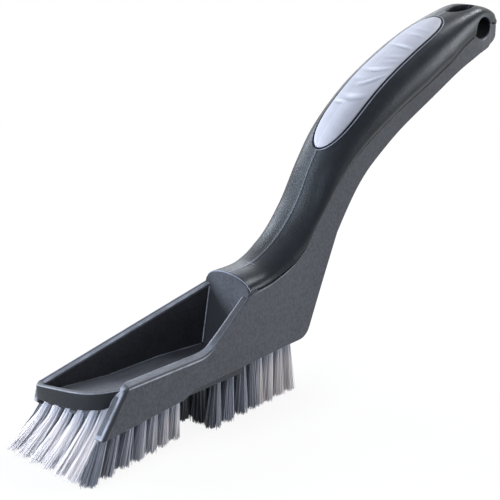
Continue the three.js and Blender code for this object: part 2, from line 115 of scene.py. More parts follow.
# Tufts along the walls, front section and rear section: x of the root, lean in x, lean outwards
NEAR_FRONT = np.array([
    (5.5, -11.6, 5.8), (11.0, -8.8, 4.2), (16.9, -6.7, 2.9), (22.7, -5.3, 2.3), (28.1, -4.1, 1.3),
    (33.3, -3.2, 0.5), (38.6, -1.8, -0.5),
])
NEAR_REAR = np.array([
    (59.5, -5.6, 4.6), (66.5, -5.3, 3.8), (73.2, -4.0, 3.1), (78.2, -3.0, 2.8), (82.0, -3.1, 2.3),
    (88.2, -4.4, 2.7), (93.5, -3.1, 2.1), (98.0, -1.0, 1.9),
])
# The first tuft at the far wall stands by the nose: x and y of its root, its leans
FAR_FIRST = (1.8, 15.0, -5.3, 7.0)
# How many of the rear section's tufts are dark
DARK_TUFTS = 4
# Nose tufts along the nose line, as shares of its run
NOSE_TUFTS = np.array([0.24, 0.39, 0.53, 0.66, 0.77, 0.86])
# Where the first of their tips is, the step to the next one, and how far each step shortens
NOSE_TIP = np.array([-7.74, 19.88])
NOSE_TIP_STEP = np.array([0.166, -6.96])
NOSE_TIP_EASE = np.array([0, 0.065])
# Tones of the tufts, from dark 0 to white 1, in the order of their rows
NOSE_TONES = (1.0, 1.0, 0.95, 0.9, 0.95, 1.0)
NEAR_TONES = (0.26, 0.38, 0.48, 0.54, 0.58, 0.62, 0.68)
FAR_TONES = (0.10, 0.20, 0.30, 0.4, 0.4, 0.4, 0.4)
# The inner rows are dark: painted shade in the gaps between the outer rows' tufts.
INNER_TONES = (0.4, 0.3, 0.2, 0.2)
DARK_TONES = (0.24, 0.38, 0.34, 0.26)
DARKEST_TONE = 0.03
WHITE_TONES = (0.86, 0.88, 0.92, 1.0, 0.8, 0.8, 0.8, 0.8)
# From the far wall to the near wall: climb of the nose lip's top, its bend, climb of its lower
# edge and climb of the tray floor
LIP_CLIMB = 0.25
LIP_BEND = -0.0027
LIP_LOW_CLIMB = 0.116
FLOOR_CLIMB = 0.22
# Where the tray floor starts to climb and where it climbs less, and how much of its climb is left
FLOOR_BENDS = (28, 49)
FLOOR_REST = 0.6
# Backward lean of the tray's rear wall, and of the toe of both walls from its place in x
REAR_LEAN = 0.16
TOE_LEAN = 0.23
TOE_START = 0.2
# Climb of the underside towards the heel, from a place in x
REAR_CLIMB = 0.035
CLIMB_START = 50
# Folds of the pad: place along it, tilt, bow, rise, width, and the middle and reach across it
FOLDS = np.array([
    (-20.5, 0, 0, 0.3, 0.7, 1.8, 2.5), (-17.6, 0, 0.05, 0.42, 1.2, -3.0, 4.0),
    (-11.2, 0.26, 0.1, 0.42, 0.9, -4.0, 4.0), (-8.0, 0.2, 0.08, 0.15, 0.9, 1.0, 3.0),
    (-2.8, 0.1, 0.055, 0.45, 0.8, -2.5, 4.5), (2.5, 0.05, 0.05, 0.18, 1.0, -5.0, 3.0),
    (6.0, 0.02, 0.04, 0.2, 1.1, -4.5, 3.5), (13.6, 0, 0, 0.42, 0.7, -3.0, 4.5),
    (21.8, 0, 0, 0.24, 0.8, -3.0, 4.0), (26.0, 0, 0, 0.18, 0.8, -2.5, 3.5),
])


def length(name, description, default):
    return bpy.props.FloatProperty(
        name=name, description=description, default=default, precision=5, unit="LENGTH"
    )


def colour(name, description, default):
    return bpy.props.FloatVectorProperty(
        name=name, description=description, default=default, size=3, min=0, max=1, subtype="COLOR"
    )


class BrushSizes(bpy.types.PropertyGroup):
    """Lengths of the brush."""

    head_front_width: length("Head front width", "Across the walls at the nose", 0.040)
    head_rear_width: length("Head rear width", "Across the walls at the heel", 0.0186)
    head_length: length("Head length", "From the nose to the heel", 0.100)
    heel_overhang: length("Heel overhang", "Heel behind the head's length", 0.0044)
    wall: length("Wall", "Thickness of the side walls", 0.0034)
    near_bar: length("Near bar", "Thickness of the near wall", 0.0042)
    near_lift: length("Near lift", "Inner edge of the near wall above its outer edge", 0.0013)
    wall_edge: length("Wall edge", "Rounding of the walls' top edges", 0.0011)
    toe_drop: length("Toe drop", "Front of the walls below the front section", 0.0026)
    lip_top: length("Lip top", "Height of the nose lip at the far wall", 0.0067)
    lip_low: length("Lip low", "Lower edge of the nose lip at the far wall", 0.0020)
    floor_front: length("Floor front", "Height of the tray floor by the nose", 0.0035)
    floor_rear: length("Floor rear", "Height of the tray floor at its rear wall", 0.0063)
    tray_end: length("Tray end", "Foot of the tray's rear wall", 0.0685)
    rear_step: length("Rear step", "Rise of the underside at the rear section", 0.0025)
    near_height: length("Near wall height", "Height of its low stretch", 0.0129)
    crest_start: length("Crest start", "Where the handle's crest starts", 0.0725)
    handle_length: length("Handle length", "Run of the crest", 0.1435)
    crest_low: length("Crest low", "Height where the crest starts", 0.035)
    crest_top: length("Crest top", "Largest height of the crest", 0.1184)
    shell_depth: length("Shell depth", "Largest depth of the shell", 0.0173)
    spine_depth: length("Spine depth", "Largest depth of the spine", 0.022)
    base_half: length("Base half width", "Half width over the tray", 0.0119)
    neck_half: length("Neck half width", "Half width at the neck", 0.0108)
    grip_half: length("Grip half width", "Half width at the grip", 0.0136)
    eye_half: length("Eye half width", "Half width at the hanging eye", 0.0099)
    tip_half: length("Tip half width", "Half width at the tip", 0.0054)
    spine_half: length("Spine half width", "Half width of the spine", 0.0087)
    seam_gap: length("Seam gap", "Gap between shell and spine", 0.0003)
    eye_length: length("Eye length", "Hanging eye along the handle", 0.0116)
    eye_height: length("Eye height", "Hanging eye across the seam", 0.0086)
    opening_length: length("Opening length", "Opening over the eye", 0.0142)
    opening_width: length("Opening width", "Opening over the eye", 0.0076)
    opening_shift: length("Opening shift", "Opening's middle to the near side", 0.0011)
    opening_setback: length("Opening setback", "Opening's middle before the eye's", 0.0045)
    pad_half: length("Pad half width", "Half width of the grip pad", 0.0083)
    pad_far: length("Pad far half width", "Half width on the far side", 0.0060)
    pad_proud: length("Pad proud", "Grip pad above the shell", 0.0004)
    bristle_length: length("Bristle length", "From the front section to the tips", 0.0153)
    strand_radius: length("Strand radius", "Radius of one bristle", 0.00014)
    tuft_root: length("Tuft root", "Radius of a tuft at its root", 0.0016)
    tuft_tip: length("Tuft tip", "Radius of a tuft at its tips", 0.0029)
    nose_root: length("Nose tuft root", "Radius of a nose tuft at its root", 0.0016)
    nose_tip: length("Nose tuft tip", "Radius of a nose tuft at its tips", 0.0033)


class BrushCounts(bpy.types.PropertyGroup):
    """Counts of the brush."""

    strands: bpy.props.IntProperty(
        name="Strands", description="Bristles in a tuft", default=240, min=20, max=250
    )
    seed: bpy.props.IntProperty(name="Seed", description="Order of the bristles", default=7)


class BrushColours(bpy.types.PropertyGroup):
    """Colours of the brush and its studio."""

    grey: colour("Grey plastic", "Lower moulding", (0.066, 0.070, 0.083))
    charcoal: colour("Charcoal plastic", "Upper shell", (0.010, 0.011, 0.014))
    pad: colour("Grip pad", "Soft inlay", (0.43, 0.44, 0.51))
    white_bristle: colour("White bristle", "Pale tufts", (0.80, 0.77, 0.79))
    grey_bristle: colour("Grey bristle", "Blue grey tufts", (0.40, 0.43, 0.52))
    dark_bristle: colour("Dark bristle", "Dark tufts", (0.020, 0.024, 0.033))
    steel: colour("Steel wire", "Tuft anchors", (0.42, 0.43, 0.44))
    floor: colour("Floor", "Studio floor", (0.9, 0.9, 0.9))


def millimetres():
    """The brush's lengths in millimetres, by name."""
    group = bpy.context.scene.brush_sizes
    return SimpleNamespace(**{key: 1000 * getattr(group, key) for key in BrushSizes.__annotations__})


def tip_end(size):
    """The handle's far end in x."""
    return size.crest_start + size.handle_length + size.seam_gap


def heel_end(size):
    """The heel's far end in x."""
    return size.head_length + size.heel_overhang


def offset(size):
    """Where x, y and z of the sketch start in the row frame: the tip and the trim plane fix it."""
    return np.array([1000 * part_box("body")[1].x - tip_end(size), 0, size.bristle_length])


# Curves


def fade(value, start, end):
    """0 before the start, 1 past the end, straight between. The end may lie below the start."""
    return np.clip((value - start) / (end - start), 0, 1)


def ease(value, start, end):
    """As fade, but smooth at the start and the end: a cubic that is level there."""
    share = fade(value, start, end)
    return share * share * (3 - 2 * share)


def bell(value, middle, wide):
    """The bell curve, 1 at its middle."""
    return np.exp(-(((value - middle) / wide) ** 2))


def smooth_curve(points, share):
    """Values and slopes of a centripetal Catmull-Rom curve at shares of its span: between two
    points, a cubic whose end slopes weigh each neighbour by the root of its distance."""
    ends = np.vstack([2 * points[0] - points[1], points, 2 * points[-1] - points[-2]])
    gaps = np.sqrt(np.linalg.norm(np.diff(ends, axis=0), axis=1))[:, None]
    at = np.clip(share, 0, 1) * (len(points) - 1)
    i = np.minimum(at.astype(int), len(points) - 2)
    w = (at - i)[:, None]
    p0, p1, p2, p3 = (ends[i + k] for k in range(4))
    d0, d1, d2 = (gaps[i + k] for k in range(3))
    m1 = ((p1 - p0) / d0 - (p2 - p0) / (d0 + d1) + (p2 - p1) / d1) * d1
    m2 = ((p2 - p1) / d1 - (p3 - p1) / (d1 + d2) + (p3 - p2) / d2) * d1
    square = 3 * (p2 - p1) - 2 * m1 - m2
    cube = 2 * (p1 - p2) + m1 + m2
    value = p1 + w * (m1 + w * (square + w * cube))
    slope = m1 + w * (2 * square + 3 * w * cube)
    return value, slope


def rounded(corners, steps=8):
    """An open line through corners (a, b, radius), each corner a quadratic curve between points
    that radius away along its edges."""
    spots = np.array([corner[:2] for corner in corners], float)
    line = [spots[:1]]
    share = np.linspace(0, 1, steps)[:, None]
    for k in range(1, len(corners) - 1):
        radius = corners[k][2]
        if not radius:
            line.append(spots[k : k + 1])
            continue
        back, ahead = spots[k - 1] - spots[k], spots[k + 1] - spots[k]
        start = spots[k] + back * min(0.5, radius / np.linalg.norm(back))
        end = spots[k] + ahead * min(0.5, radius / np.linalg.norm(ahead))
        line.append((1 - share) ** 2 * start + 2 * share * (1 - share) * spots[k] + share**2 * end)
    line.append(spots[-1:])
    return np.vstack(line)


def run_of(line):
    """Distance along a line at each of its points."""
    return np.append(0, np.cumsum(np.linalg.norm(np.diff(line, axis=0), axis=1)))


def at_run(line, run):
    """Points of a line at distances along it."""
    own = run_of(line)
    return np.column_stack([np.interp(run, own, line[:, k]) for k in range(line.shape[1])])


def resample(line, step):
    """A line at even steps, with its own points kept."""
    own = run_of(line)
    even = np.linspace(0, own[-1], int(own[-1] / step) + 2)
    return at_run(line, np.unique(np.concatenate([own, even])))


def nearest_run(line, spot):
    """Distance along a line of the point that is nearest to a spot."""
    return run_of(line)[np.argmin(np.linalg.norm(line - np.asarray(spot), axis=1))]


# The head and the handle


def head_taper(size):
    """How much half the head's width shrinks along x."""
    return (size.head_front_width - size.head_rear_width) / 2 / size.head_length


def head_half(size, x):
    """Half width of the head: straight from the front width to the rear width."""
    return size.head_front_width / 2 - head_taper(size) * x


def spine_width(size, x):
    """Half width of the spine: even, then a smooth step wider before the hanging eye."""
    return size.spine_half + SPINE_GROWTH * ease(x, *SPINE_WIDENS)


def handle_at(size, share):
    """The handle at shares of its length: crest, unit tangent and down, depths, seam and low edge.
    Down turns upright towards the tip. Over the head, the shell stays just inside the walls, and
    past it the shell widens freely. Its foot stands just outside the spine."""
    share = np.atleast_1d(np.asarray(share, float))
    run, rise, shell, spine = STATIONS.T
    x = size.crest_start + run * size.handle_length
    z = size.crest_low + rise * (size.crest_top - size.crest_low)
    widths = [size.base_half, size.neck_half, size.grip_half, size.eye_half, size.tip_half]
    half = np.interp(HALF_PLACES, range(len(widths)), widths)
    depths = np.column_stack([shell * size.shell_depth, spine * size.spine_depth, half])
    crest, slope = smooth_curve(np.column_stack([x, z]), share)
    depth, _ = smooth_curve(depths, share)
    upright = fade(share, *TIP_TURN)[:, None] ** 2
    down = np.column_stack([slope[:, 1], -slope[:, 0]]) / np.linalg.norm(slope, axis=1)[:, None]
    down = (1 - upright) * down + upright * (0, -1)
    down /= np.linalg.norm(down, axis=1, keepdims=True)
    tangent = np.column_stack([-down[:, 1], down[:, 0]])
    seam = crest + down * depth[:, :1]
    low = seam + down * depth[:, 1:2]
    x = seam[:, 0]
    head = head_half(size, x)
    inside, widening, run_out = 0.35, 2.2, 16
    limit = head - inside + widening * np.maximum(0, (x - SHELL_LEAVES) / run_out) ** 1.5
    half = np.minimum(depth[:, 2], limit)
    foot_inside, overhang = 1.0, 0.3
    foot = np.maximum(spine_width(size, x) + FOOT_LEDGE, head - foot_inside)
    foot = np.minimum(half - overhang, foot)
    return SimpleNamespace(
        crest=crest, tangent=tangent, down=down, shell=depth[:, 0], half=half,
        seam=seam, low=low, foot=foot,
    )


def section_power(share):
    """The shell's section is a superellipse: rounder over the tray, squarer towards the tip."""
    power, squarer, rounder = 2.4, 0.9, 0.3
    return power + squarer * ease(share, *SQUARE_SHARES) - rounder * fade(share, 0.15, 0)


def bulge_share(share):
    """How much of the shell's depth its round upper part takes: all of it over the tray."""
    straight = 0.38
    return 1 - straight * ease(share, *STRAIGHT_SHARES)


def skin_depth(bulge, half, y, power):
    """Depth of the superellipse below the crest at y."""
    return bulge * (1 - (1 - np.clip(np.abs(y) / half, 0, 1) ** power) ** (1 / power))


def body_half(size, x):
    """Half width of the lower moulding: the head's taper, a parabola from it into the spine, then in
    to the tip with the shell."""
    taper = head_taper(size)
    before_heel, tip_inside = 6, 0.8
    start = size.head_length - before_heel
    reach = 2 * (head_half(size, start) - size.spine_half) / taper
    eased = spine_width(size, x) + taper / (2 * reach) * np.maximum(0, start + reach - x) ** 2
    end = handle_at(size, np.linspace(EYE_SHARE, 1, 40))
    xs = np.append(end.seam[:, 0], tip_end(size))
    ys = np.append(end.foot - FOOT_LEDGE, size.tip_half - tip_inside)
    closing = np.interp(x, xs, ys, left=np.inf)
    return np.minimum(np.where(x < start, head_half(size, x), eased), closing)


def floor_height(size, x):
    """Height of the tray floor: low behind the nose, then climbing over the rear section."""
    heights = (size.floor_front, size.floor_rear - FLOOR_REST, size.floor_rear)
    return np.interp(x, (*FLOOR_BENDS, size.tray_end), heights)


def rear_wall(size, z):
    """Where the tray's rear wall is at a height: it leans back a little."""
    return size.tray_end + REAR_LEAN * (z - size.floor_rear)


def rear_low(size, x):
    """Height of the underside behind the step: it climbs a little towards the heel."""
    return size.rear_step + REAR_CLIMB * (x - CLIMB_START)


def lip_height(size, y):
    """Height of the nose lip's top: a parabola that climbs from the far wall to the near wall."""
    across = size.head_front_width / 2 - y
    return size.lip_top + LIP_CLIMB * across + LIP_BEND * across**2


def lip_foot(size, y):
    """Height of the nose lip's lower edge: it climbs from the far wall to the near wall."""
    return size.lip_low + LIP_LOW_CLIMB * (size.head_front_width / 2 - y)


def nose_line(size, count=48):
    """The nose from the far wall to the near wall, as x and y."""
    points = NOSE_SHARES * size.head_front_width / 2
    return smooth_curve(points, np.linspace(0, 1, count))[0]


# Meshes


def tube(rings, material=0, edge=0.0):
    """A closed skin over rings of points (rows, columns, 3), with a face over each end. Edge is
    above 0 where a highlight is painted into the colour and below 0 where shade is painted into it."""
    rows, columns = rings.shape[:2]
    i, j = np.meshgrid(np.arange(rows - 1), np.arange(columns), indexing="ij")
    k = (j + 1) % columns
    corners = [i * columns + j, i * columns + k, (i + 1) * columns + k, (i + 1) * columns + j]
    quads = np.stack(corners, axis=-1).reshape(-1, 4)
    last = (rows - 1) * columns
    caps = [np.arange(columns)[::-1], np.arange(columns) + last]
    edge = np.broadcast_to(edge, (rows, columns)).ravel()
    points = rings.reshape(-1, 3)
    return SimpleNamespace(points=points, quads=quads, caps=caps, material=material, edge=edge)


def make_piece(name, tubes, materials, angle=38, weld=0.002):
    """One object from several closed skins: points go into the row frame, points that meet are
    merged, faces are turned outwards and edges sharper than the angle stay sharp."""
    starts = np.cumsum([0] + [len(part.points) for part in tubes])
    points = np.vstack([part.points for part in tubes])
    faces, slots = [], []
    for part, start in zip(tubes, starts):
        own = (part.quads + start).tolist() + [(cap + start).tolist() for cap in part.caps]
        faces += own
        slots += [part.material] * len(own)
    mesh = bpy.data.meshes.new(name)
    mesh.from_pydata(((points + offset(millimetres())) / 1000).tolist(), [], faces)
    mesh.polygons.foreach_set("material_index", slots)
    # The edge values go on the points: painted highlight above 0, painted shade below 0.
    edge = mesh.attributes.new("edge", "FLOAT", "POINT")
    edge.data.foreach_set("value", np.concatenate([part.edge for part in tubes]).astype(np.float32))
    turned = bmesh.new()
    turned.from_mesh(mesh)
    if weld:
        bmesh.ops.remove_doubles(turned, verts=turned.verts, dist=weld / 1000)
        bmesh.ops.dissolve_degenerate(turned, edges=turned.edges, dist=weld / 1000)
    bmesh.ops.recalc_face_normals(turned, faces=turned.faces)
    turned.to_mesh(mesh)
    turned.free()
    mesh.polygons.foreach_set("use_smooth", np.ones(len(mesh.polygons), bool))
    mesh.set_sharp_from_angle(angle=math.radians(angle))
    for material in materials:
        mesh.materials.append(material)
    piece = bpy.data.objects.new(name, mesh)
    bpy.context.scene.collection.objects.link(piece)
    return piece


def prism(outline, low, high, material=0):
    """A plan outline carried straight up between two heights."""
    rings = np.stack([np.column_stack([outline, np.full(len(outline), z)]) for z in (low, high)])
    return tube(rings, material)


def rows_between(low, top, keys, step):
    """Rows from a low line to a top line: between two keys, pairs of spots on the two lines,
    both lines are followed at an even pace, finer before the second key."""
    low, top = resample(low, 0.2), resample(top, 0.2)
    runs = np.array([(nearest_run(low, a), nearest_run(top, b)) for a, b in keys])
    pieces = []
    for start, end in zip(runs[:-1], runs[1:]):
        count = max(2, int(np.ceil(np.abs(end - start).max() / step))) * (1 if pieces else 3)
        pieces.append(start + (end - start) * np.linspace(0, 1, count, endpoint=False)[:, None])
    pieces.append(runs[-1:])
    runs = np.vstack(pieces)
    return at_run(low, runs[:, 0]), at_run(top, runs[:, 1])


def plate(size, low, top, side, edges, wall, groove=0.0, lift=0.0, highlight_dimming=0.0, flash=0.0):
    """A wall plate: at each row a rounded rectangle between the low and the top line, as thick as
    the wall, its corners quarter circles, the inner top corner raised by the lift. Both ends of the
    rows are rounded off by a quarter circle. Painted light goes on its points: rows that are dimmed
    lose the painted highlight line on their outer edge, a flash paints a highlight on the top or,
    below 0, paints shade on it, and the front rounding gets a painted highlight and a painted dark
    band."""
    rise = top - low
    height = np.linalg.norm(rise, axis=1)[:, None]
    along = rise / height
    angle, fine = np.linspace(0, math.pi / 2, 7), np.linspace(0, math.pi / 2, 10)
    turn_in, turn_out = 1 - np.cos(angle), 1 - np.sin(angle)
    r0, r1, r2, r3 = (np.broadcast_to(np.asarray(r, float), len(low))[:, None] for r in edges)
    share = np.linspace(0.02, 0.98, 12)
    flat = np.ones((len(low), 1))
    up = [r0 * turn_in, r0 + (height - r0 - r1) * share, height - r1 * (1 - np.sin(fine))]
    over = [r0 * turn_out, 0 * share, r1 * (1 - np.cos(fine))]
    if groove:
        middle, half = (r1 + wall - r2) / 2, 1.6 * groove
        up += [height, height - groove, height]
        over += [middle - half, middle, middle + half]
    up += [height - r2 * turn_in, r3 + (height - r2 - r3) * share[::-1], r3 * turn_out]
    over += [wall - r2 * turn_out, wall + 0 * share, wall - r3 * turn_in]
    up = np.hstack([part * flat for part in up])
    over = np.hstack([part * flat for part in over])
    up = up + np.reshape(lift, (-1, 1)) * over / wall * np.clip(2 * up / height - 1, 0, 1)
    x = low[:, :1] + along[:, :1] * up
    z = low[:, 1:] + along[:, 1:] * up

    def drawn(end, radius):
        across = np.array([along[end, 1], -along[end, 0]]) * (1 if end == 0 else -1)
        gone = np.clip((x - low[end, 0]) * across[0] + (z - low[end, 1]) * across[1], 0, radius)
        return radius - np.sqrt(radius**2 - (radius - gone) ** 2)

    front, back = drawn(0, FRONT_ROUND), drawn(-1, TIP_ROUND)
    draw, outer = np.maximum(front, back), np.clip(1 - 2 * over / wall, 0, 1)
    over = draw + over * (wall - 1.25 * draw) / wall
    x = x - FRONT_LEAN * front * over / wall
    painted_light = plate_painted_light(angle, fine, share, groove, highlight_dimming, top[:, :1])
    # Painted light round the front rounding: a painted highlight at the very end and a painted dark
    # band behind it, the dark only on the outer side.
    glow = np.interp(front, [0.01, 0.04, 0.5, 0.85, 1.15, 1.5], [0, -0.6, -0.6, 0.5, 1.2, 1.0])
    glow = np.where(glow < 0, glow * outer, glow)
    painted_light = np.where(front > 0.01, glow, painted_light)
    crown = len(angle) + len(share) + len(fine)
    # The flash paints a highlight on the top face, or shade where it is below 0.
    painted_light[:, crown - 1 : crown + 1] += np.reshape(flash, (-1, 1))
    rings = np.stack([x, side * (body_half(size, x) - over), z], axis=-1)
    face = rings[0] + (rings[0].mean(axis=0) - rings[0]) * (0.05, 0.25, 0.05)
    # A faint painted highlight on the end face.
    rings, painted_light = np.concatenate([[face], rings]), np.vstack([0 * painted_light[:1] + 0.1, painted_light])
    return tube(rings, edge=painted_light)


def plate_painted_light(angle, fine, share, groove, highlight_dimming, x):
    """Painted light of a plate's columns: a painted highlight line on each top corner, less where it
    is dimmed, a painted paler top between, a painted dark band above the near wall's outer line,
    painted shade on the inner face, and all of it lowered along the handle, which paints shade there."""
    corner = bell(angle, math.pi / 4, 0.2)
    pale = 0.5 if groove else 0.3
    line = bell(fine, math.pi / 4, 0.2) if groove else 1.2 * bell(fine, 0.4, 0.2)
    rest = pale * np.sin(fine) ** 3 - (0 if groove else 0.6) * bell(fine, 1.05, 0.22)
    columns = [0.4 * corner, 0 * share, rest + line, np.zeros(3 if groove else 0)]
    columns += [corner + pale * np.cos(angle) ** 3, 0 * share - 0.5, 0 * angle]
    painted_light = np.concatenate(columns) - 0.35 * fade(x, 100, 160)
    start = len(angle) + len(share)
    painted_light[:, start : start + len(fine)] -= np.reshape(highlight_dimming, (-1, 1)) * line
    return painted_light


def toe_of(drop):
    """Lower front corner of a wall, a drop below the front section."""
    return np.array([TOE_START - TOE_LEAN * drop, -drop])


def underside(size, front, drop):
    """The low line of a wall: toe, step up to the rear section, heel, spine and tip. The spine's
    line is evened out by a running mean."""
    spine = handle_at(size, np.linspace(SPINE_SHARE, EYE_SHARE - 0.02, 60)).low
    ends = np.vstack([2 * spine[:1] - spine[4:0:-1], spine, 2 * spine[-1] - spine[-2:-6:-1]])
    spine = np.column_stack([np.convolve(ends[:, k], np.full(9, 1 / 9), "valid") for k in (0, 1)])
    tip_x, tip_z = handle_at(size, 1).seam[0]
    heel, end = heel_end(size), tip_end(size)
    corners = [
        (*front, 0),
        (*toe_of(drop), 1.6),
        (STEP_FOOT, 0.1, 1.4),
        (STEP_TOP, rear_low(size, STEP_TOP), 2),
        (heel, rear_low(size, heel), 4),
        *[(x, z, 0) for x, z in spine],
        (tip_x - 7.0, tip_z - 8.3, 4),
        (tip_x - 0.8, tip_z - 6.0, 2.8),
        (end, tip_z - 2.2, 2),
        (end, tip_z - 0.45, 0),
    ]
    return rounded(corners)


def eye_arc(size):
    """Lower half of the hanging eye's oval, from its front end to its rear end."""
    centre = handle_at(size, EYE_SHARE).seam[0]
    angle = np.linspace(0, math.pi, 25)
    radii = np.array([size.eye_length, size.eye_height]) / 2
    return centre - np.column_stack([np.cos(angle), np.sin(angle)]) * radii


def seam_line(size, start):
    """The seam from a share of the handle to the tip. Across the hanging eye it follows the lower
    half of the eye's oval."""
    seam = handle_at(size, np.linspace(start, 1, 700)).seam
    centre = handle_at(size, EYE_SHARE).seam[0]
    off = np.clip((seam[:, 0] - centre[0]) / (size.eye_length / 2), -1, 1)
    low = centre[1] - size.eye_height / 2 * np.sqrt(1 - off**2)
    seam[:, 1] = np.where(np.abs(off) < 1, low, seam[:, 1])
    return np.vstack([seam, [(tip_end(size) - 0.1, seam[-1, 1] - 0.15)]])


# Finishes


class Shade:
    """A shader socket. Arithmetic on it adds Math nodes, and make() adds any other node."""

    def __init__(self, tree, socket=None):
        self.tree = tree
        self.socket = socket

    def make(self, kind, settings=None, inputs=None, out=0):
        node = self.tree.nodes.new(kind)
        for key, value in (settings or {}).items():
            setattr(node, key, value)
        for key, value in (inputs or {}).items():
            if isinstance(value, Shade):
                self.tree.links.new(value.socket, node.inputs[key])
            else:
                node.inputs[key].default_value = value
        return Shade(self.tree, node.outputs[out])

    def math(self, operation, *values):
        return self.make("ShaderNodeMath", {"operation": operation}, dict(enumerate(values)))

    def __add__(self, other):
        return self.math("ADD", self, other)

    __radd__ = __add__

    def __mul__(self, other):
        return self.math("MULTIPLY", self, other)

    __rmul__ = __mul__

    def __sub__(self, other):
        return self.math("SUBTRACT", self, other)

    def __rsub__(self, other):
        return self.math("SUBTRACT", other, self)

    def __abs__(self):
        return self.math("ABSOLUTE", self)

    def above(self, other):
        """The larger of this value and another."""
        return self.math("MAXIMUM", self, other)

    def step(self, low, high):
        """0 below low, 1 above high, smooth between."""
        inputs = {"Value": self, "From Min": low, "From Max": high}
        return self.make("ShaderNodeMapRange", {"interpolation_type": "SMOOTHSTEP"}, inputs)

    def noise(self, scale, detail=3.0, roughness=0.55):
        inputs = {"Vector": self, "Scale": scale, "Detail": detail, "Roughness": roughness}
        return self.make("ShaderNodeTexNoise", {}, inputs)

    def attribute(self, name):
        """A number that the mesh keeps at its points."""
        return self.make("ShaderNodeAttribute", {"attribute_name": name}, {}, out=2)

    def bump(self, strength, distance=0.0002):
        """The normal of a surface raised by this value."""
        inputs = {"Strength": strength, "Distance": distance, "Height": self}
        return self.make("ShaderNodeBump", {}, inputs)

    def stretched(self, scale):
        """These coordinates with each axis scaled."""
        return self.make("ShaderNodeVectorMath", {"operation": "MULTIPLY"}, {0: self, 1: scale})

    def axes(self):
        """x, y and z of these coordinates."""
        first = self.make("ShaderNodeSeparateXYZ", {}, {0: self})
        return [Shade(self.tree, output) for output in first.socket.node.outputs]

    def blend(self, low, high):
        """A colour between two colours, by this value."""
        low, high = (c if isinstance(c, Shade) else (*c, 1) for c in (low, high))
        settings = {"data_type": "RGBA", "clamp_factor": True}
        return self.make("ShaderNodeMix", settings, {0: self, 6: low, 7: high}, out=2)


def new_material(name):
    """A material with its shader node, and its Object coordinates."""
    material = bpy.data.materials.new(name)
    material.use_nodes = True
    tree = material.node_tree
    shader = next(node for node in tree.nodes if node.type == "BSDF_PRINCIPLED")
    coords = Shade(tree).make("ShaderNodeTexCoord", {}, {}, out=3)
    return material, shader, coords


def feed(shader, **inputs):
    """Links or sets the shader's sockets, by name with spaces as underscores."""
    for key, value in inputs.items():
        socket = shader.inputs[key.replace("_", " ")]
        if isinstance(value, Shade):
            value.tree.links.new(value.socket, socket)
        else:
            socket.default_value = value


def tint(shade, factor):
    """A colour made lighter or darker."""
    return tuple(min(1.0, channel * factor) for channel in shade)


def eye_shade_mask(coords):
    """1 on the walls of the hanging eye and of the opening over it, 0 elsewhere: where painted shade
    goes.
    """
    size = millimetres()
    shift = offset(size)
    centre = handle_at(size, EYE_SHARE).seam[0] + shift[[0, 2]]
    x, y, z = coords.axes()
    along = (x - centre[0] / 1000) * (2000 / size.eye_length)
    rise = (z - centre[1] / 1000) * (2000 / size.eye_height)
    sides, crest = (0.0076, 0.0086), (0.118, 0.120)
    eye = (1 - (along * along + rise * rise).step(1.2, 1.4)) * (1 - abs(y).step(*sides))
    run = (x - (centre[0] - size.opening_setback) / 1000) * (2000 / size.opening_length)
    across = (y + size.opening_shift / 1000) * (2000 / size.opening_width)
    opening = (1 - (run * run + across * across).step(1.0, 1.1)) * z.step(*crest)
    return eye.above(opening)


def grey_plastic():
    """Matt grey moulding: fine grain, mottled patches, faint scuffs, painted highlights along edges,
    painted shade in the tray and on faces turned from the light, and rougher with painted shade
    inside the eye."""
    material, shader, coords = new_material("grey_plastic")
    grey = tuple(bpy.context.scene.brush_colours.grey)
    grain = coords.noise(2400, 2).step(0.3, 0.7)
    speck = coords.noise(800, 3, 0.6).step(0.35, 0.65)
    cloud = coords.noise(150, 4, 0.6).step(0.3, 0.7)
    scuff = coords.stretched((60, 900, 400)).noise(1, 4, 0.7).step(0.58, 0.75)
    # Mask for painted shade inside the eye and the opening over it.
    inside = eye_shade_mask(coords)
    edge = coords.attribute("edge")
    mix = 0.25 * cloud + 0.5 * speck + 0.25 * grain + 0.2 * scuff
    shade = mix.blend(tint(grey, 0.7), tint(grey, 1.3))
    # The points' painted light: painted highlights above 0 lighten the colour, painted shade below 0
    # darkens it.
    painted_light, painted_shade = edge.above(0.0), (0 - edge).above(0.0)
    shade = (0.6 * painted_light * (0.6 + 0.8 * cloud)).blend(shade, tint(grey, 7))
    shade = (1.2 * painted_shade).blend(shade, tint(grey, 0.2))
    feed(
        shader,
        Base_Color=inside.blend(shade, tint(grey, 0.06)),
        Roughness=0.42 + 0.1 * cloud + 0.08 * grain - 0.06 * scuff - 0.24 * painted_light + 0.4 * inside,
        Specular_IOR_Level=0.22,
        Specular_Tint=(0.82, 0.91, 1.0, 1),
        Normal=(0.4 * grain + 0.5 * speck + 0.3 * cloud).bump(0.3),
    )
    return material


